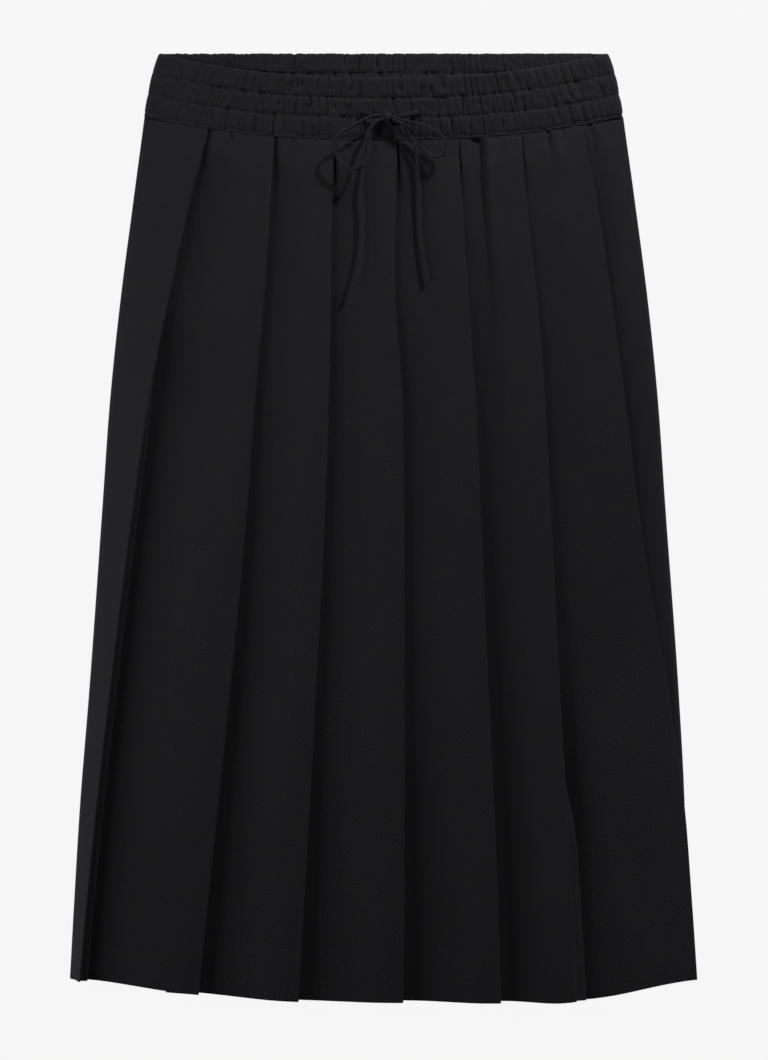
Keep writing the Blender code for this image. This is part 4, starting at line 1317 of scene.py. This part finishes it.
def band_piece(name, x, z, down, out, into, replaced):
    """Close a band's outside and inside, moved from its middle line by these distances."""
    outside, inside = moved_side(x, z, down, out), moved_side(x, z, down, -into)
    return cloth_piece(name, outside, inside, cloth_uv(x, z, down), CASING, replaced), outside


on_top = ease((band_z - BAND_WALL / 2 - TALL) / 1.0)
furrows = furrow_relief(band_x, BAND_T, band_flat, FRONT_FURROWS) * on_top
firmness = 0.6 + 0.4 * ease((band_x / band_flat + 1) / 0.7)
height = firmness * sewn_relief(band_x)
height = height + furrows * held_flat(band_x, BAND_T) + buttonhole_relief(band_x, BAND_T) * on_top
waistband_front, band_outside = band_piece(
    "waistband_front_cloth", band_x, band_z,
    band_drop + edge_ripple(band_x, band_flat, FRONT_FURROWS) * on_top,
    (BAND_WALL / 2 + height) * mouth_rounding() * border_roll(),
    (BAND_WALL / 2 + 0.3 * furrows) * mouth_rounding(),
    "waistband_front",
)

# %% [markdown]
# ## The back band
# The back band lies under the front one. Where the front edge sags, its inner side shows, ruched in
# the same way, so it is the same surface turned over: its outside here is the side that faces up.

# %% Back band
BACK_BAND_LINES = np.array([(0.0, 0.0, 177.0), (16.0, 0.0, 182.4), (31.8, 0.0, 185.6), (50.2, 0.0, 189.0)])
GAP = 0.3

back_half = band_value(BACK_BAND_LINES, 2) - BAND_WALL / 2 - TALL - BAND_TURN - GAP
back_band_x = back_half * np.linspace(-1, 1, BAND_COLUMNS)
back_band_z = np.full_like(back_band_x, BAND_WALL / 2)
back_furrows = furrow_relief(back_band_x, BAND_T, back_half, BACK_FURROWS)
back_height = sewn_relief(back_band_x) + 0.9 * back_furrows
waistband_back, _ = band_piece(
    "waistband_back_cloth", back_band_x, back_band_z,
    band_value(BACK_BAND_LINES, 0) + edge_ripple(back_band_x, back_half, BACK_FURROWS),
    (BAND_WALL / 2 + back_height) * mouth_rounding(),
    np.broadcast_to(BAND_WALL / 2 * mouth_rounding(), back_band_x.shape),
    "waistband_back",
)

# %% [markdown]
# ## Stitches
# Thread is what holds the casings, so each stitch is a real little capsule of thread, half sunk in
# its groove. One capsule is worked out once, and a row of them is an array product: every stitch's
# place and its three directions times the capsule's points. A shape that repeats hundreds of times
# stays at a few dozen faces.

# %% Stitches
STITCH_AROUND = 6
STITCH_RINGS = np.array([-1.0, -0.86, -0.45, 0.45, 0.86, 1.0])
STITCH_SWELL = np.array([0.25, 0.75, 1.0, 1.0, 0.75, 0.25])
UP = (0.0, 0.0, 1.0)


def capsule():
    """A stitch along its first axis: rings at shares of its half length, each a circle of its swell."""
    a = np.tile(np.linspace(0, 2 * np.pi, STITCH_AROUND, endpoint=False), len(STITCH_RINGS))
    x = np.repeat(STITCH_RINGS, STITCH_AROUND)
    swell = np.repeat(STITCH_SWELL, STITCH_AROUND)
    return x, swell * np.cos(a), swell * np.sin(a)


def stitches(name, middles, along, half_length, radius):
    """Capsules turned along their stitches: middle + x * along + y * side + z * up for each point."""
    along = unit(along)
    side = unit(np.cross(UP, along))
    up = np.cross(along, side)
    x, y, z = (v[None, :, None] for v in capsule())
    ring = radius * (y * side[:, None] + z * up[:, None])
    points = middles[:, None] + half_length * x * along[:, None] + ring
    each = len(STITCH_RINGS) * STITCH_AROUND
    faces = grid_faces(len(STITCH_RINGS), STITCH_AROUND, around=True)
    faces = (faces[None] + each * np.arange(len(middles))[:, None, None]).reshape(-1, 4)
    uv = np.tile(np.stack([y[0, :, 0], x[0, :, 0]], axis=-1) * 0.5, (len(middles), 1))
    close_ends(add_piece(name, points, faces, uv, THREAD_BLACK))


def read_row(row, run, at):
    """Points between those of a row, at these values of its run."""
    return np.stack([np.interp(at, run, row[:, k]) for k in range(3)], axis=-1)


def along_row(row, pitch, reach):
    """Places a pitch apart along one row of a grid, with the direction onwards, to this far from x = 0."""
    row = row[np.abs(row[:, 0]) < reach]
    run = run_along(row)
    at = np.arange(pitch / 2, run[-1], pitch)
    return read_row(row, run, at), read_row(row, run, at + 1.0) - read_row(row, run, at - 1.0)


print("faces of one stitch:", STITCH_AROUND * (len(STITCH_RINGS) - 1) + 2)

# %% [markdown]
# ## Rows of stitching on the band
# Each row runs along its sewn line on the band's outside, between the two nearest rows of its grid.
# The middle row stops at the buttonholes.

# %% Waistband stitching
STITCH_PITCH = 2.7
STITCH_HALF_LENGTH = 1.05
STITCH_RADIUS = 0.2
STITCH_LIFT = (0, 0, 0.05)
UNDERSIDE_COLUMNS = 12


def row_at(t):
    """The row of the band's outside at place t, between its two nearest rows."""
    i = int(np.searchsorted(BAND_ROWS, t)) - 1
    share = (t - BAND_ROWS[i]) / (BAND_ROWS[i + 1] - BAND_ROWS[i])
    return band_outside[i] * (1 - share) + band_outside[i + 1] * share


rows = []
for line in SEWN_LINES:
    where, ahead = along_row(row_at(line)[UNDERSIDE_COLUMNS:-UNDERSIDE_COLUMNS], STITCH_PITCH, 190.0)
    if line == 2.0:
        clear = np.all([np.abs(where[:, 0] - b[0]) > 2.2 for b in BUTTONHOLES], axis=0)
        where, ahead = where[clear], ahead[clear]
    rows.append((where, ahead))
middles, ahead = (np.concatenate([r[k] for r in rows]) for k in range(2))
stitches("waistband_stitching", middles + STITCH_LIFT, ahead, STITCH_HALF_LENGTH, STITCH_RADIUS)

# %% [markdown]
# ## Topstitching of the seam
# The seam between band and skirt is topstitched on the skirt's side, through all the layers of the
# pleats. The row follows what is on top, panel after panel, so its places are read from the panels'
# own columns at the level of the stitching.

# %% Seam topstitching
stitched_level = front_outside[int(np.argmin(np.abs(LEVEL_RUN - TOPSTITCH_DOWN)))]
left_part = stitched_level[: PANEL_FIRST[0]]
visible = [left_part[left_part[:, 2] > 5.0]]
visible += [stitched_level[PANEL_FIRST[k] : PANEL_FIRST[k] + len(PANEL_SHARES)] for k in range(1, 7)]
visible.append(stitched_level[PANEL_FIRST[7] : PANEL_FIRST[7] + 24])
seam_row = np.concatenate(visible)
seam_row = seam_row[np.argsort(seam_row[:, 0])]
where, ahead = along_row(seam_row, STITCH_PITCH, 186.0)
stitches("seam_topstitching", where + STITCH_LIFT, ahead, STITCH_HALF_LENGTH, STITCH_RADIUS)

# %% [markdown]
# ## Buttonholes
# Each buttonhole is a cut edged with close satin stitches: two columns of short bars across its
# lips and a longer bar at each end. They lie on the band's own surface, read from its grid.

# %% Buttonholes
SATIN_PITCH = 0.42
BAR_HALF_LENGTH = 0.78
BAR_RADIUS = 0.24
BAR_LIFT = (0, 0, 0.12)
LIP_MIDDLE = 1.15
BARS_AT_END = 8
CASING_HEIGHT = 16.5


def band_points(x, t):
    """Points of the front band's outside at places x across and t down."""
    points = []
    for one_x, one_t in zip(x, t):
        top = row_at(one_t)[18:-18]
        points.append(read_row(top, top[:, 0], one_x))
    return np.array(points)


bars, directions = [], []
for middle, start, end in BUTTONHOLES:
    t = np.linspace(start, end, round(CASING_HEIGHT * (end - start) / SATIN_PITCH))
    for side in (-1, 1):
        bars.append(band_points(np.full(len(t), middle + side * LIP_MIDDLE), t))
        directions.append(np.tile((1.0, 0.12 * side, 0.0), (len(t), 1)))
    for t_end in (start - 0.02, end + 0.02):
        across = np.linspace(middle - 1.5, middle + 1.5, BARS_AT_END)
        bars.append(band_points(across, np.full(BARS_AT_END, t_end)))
        directions.append(np.tile((0.0, 1.0, 0.0), (BARS_AT_END, 1)))
bars, directions = np.concatenate(bars), np.concatenate(directions)
stitches("buttonhole_stitching", bars + BAR_LIFT, directions, BAR_HALF_LENGTH, BAR_RADIUS)

# %% [markdown]
# ## The table
# The skirt lies on a plain pale table. It glows a little of its own, as a light table does, so that
# it stays evenly pale while the black cloth is lit for its own sake. A white table lit by the lamps
# would either be grey or throw so much light back that the folds lose their shadows.

# %% Table
TABLE_HALF = 14.0
TABLE_DOWN = -0.0002
TABLE_GREY = 0.02
TABLE_GLOW = 0.912
WHITE = (1.0, 1.0, 1.0, 1.0)

table_mesh = bpy.data.meshes.new("table")
corners = [(x * TABLE_HALF, y * TABLE_HALF, TABLE_DOWN) for x, y in ((-1, -1), (1, -1), (1, 1), (-1, 1))]
table_mesh.from_pydata(corners, [], [(0, 1, 2, 3)])
table = put_in_scene("table", table_mesh)
table_finish = bpy.data.materials.new("pale_table")
table_finish.use_nodes = True
feed(
    table_finish, table_finish.node_tree.nodes["Principled BSDF"],
    Base_Color=(TABLE_GREY, TABLE_GREY, TABLE_GREY, 1.0), Roughness=0.9, Specular_IOR_Level=0.0,
    Emission_Color=WHITE, Emission_Strength=TABLE_GLOW,
)
table_mesh.materials.append(table_finish)
print("table glow:", TABLE_GLOW)

# %% [markdown]
# ## The light
# Black cloth shows its form only by what grazes it. A small lamp low at the upper right draws the
# cord's shadows. Two long soft boxes at the sides light the folds, the left one much more, and a
# small card lifts the lower right. A pale room fills the rest.

# %% Lights
ROOM_STRENGTH = 0.045
LAMPS = (
    # name, where it stands, what it faces, its width and height, and its watts
    ("key_light", (0.56, 1.18, 0.48), (0.0, 0.2, 0.0), 0.11, 0.11, 13.8),
    ("left_strip", (-1.18, 0.16, 0.36), (0.0, 0.16, 0.0), 0.3, 1.6, 15.4),
    ("right_strip", (1.15, -0.05, 0.56), (0.0, -0.05, 0.0), 0.25, 1.6, 1.8),
    ("right_card", (0.48, -0.28, 0.20), (0.2, -0.28, 0.0), 0.12, 0.36, 0.26),
)


def area_light(name, stand, aim, width, height, watts):
    """An area lamp turned to face a point: tilted from straight down, then turned about z."""
    data = bpy.data.lights.new(name, "AREA")
    data.shape = "RECTANGLE"
    data.size, data.size_y = width, height
    data.energy = watts
    lamp = put_in_scene(name, data)
    lamp.location = stand
    direction = np.array(aim) - np.array(stand)
    turned = np.arctan2(direction[1], direction[0])
    tilted = np.arctan2(np.hypot(direction[0], direction[1]), -direction[2])
    lamp.rotation_euler = (tilted, 0.0, turned - np.pi / 2)


for lamp in LAMPS:
    area_light(*lamp)
world = bpy.data.worlds.new("pale_room")
world.use_nodes = True
feed(world, world.node_tree.nodes["Background"], WHITE, ROOM_STRENGTH)
bpy.context.scene.world = world
bpy.context.scene.view_settings.view_transform = "Standard"
print("lamps:", len(LAMPS))
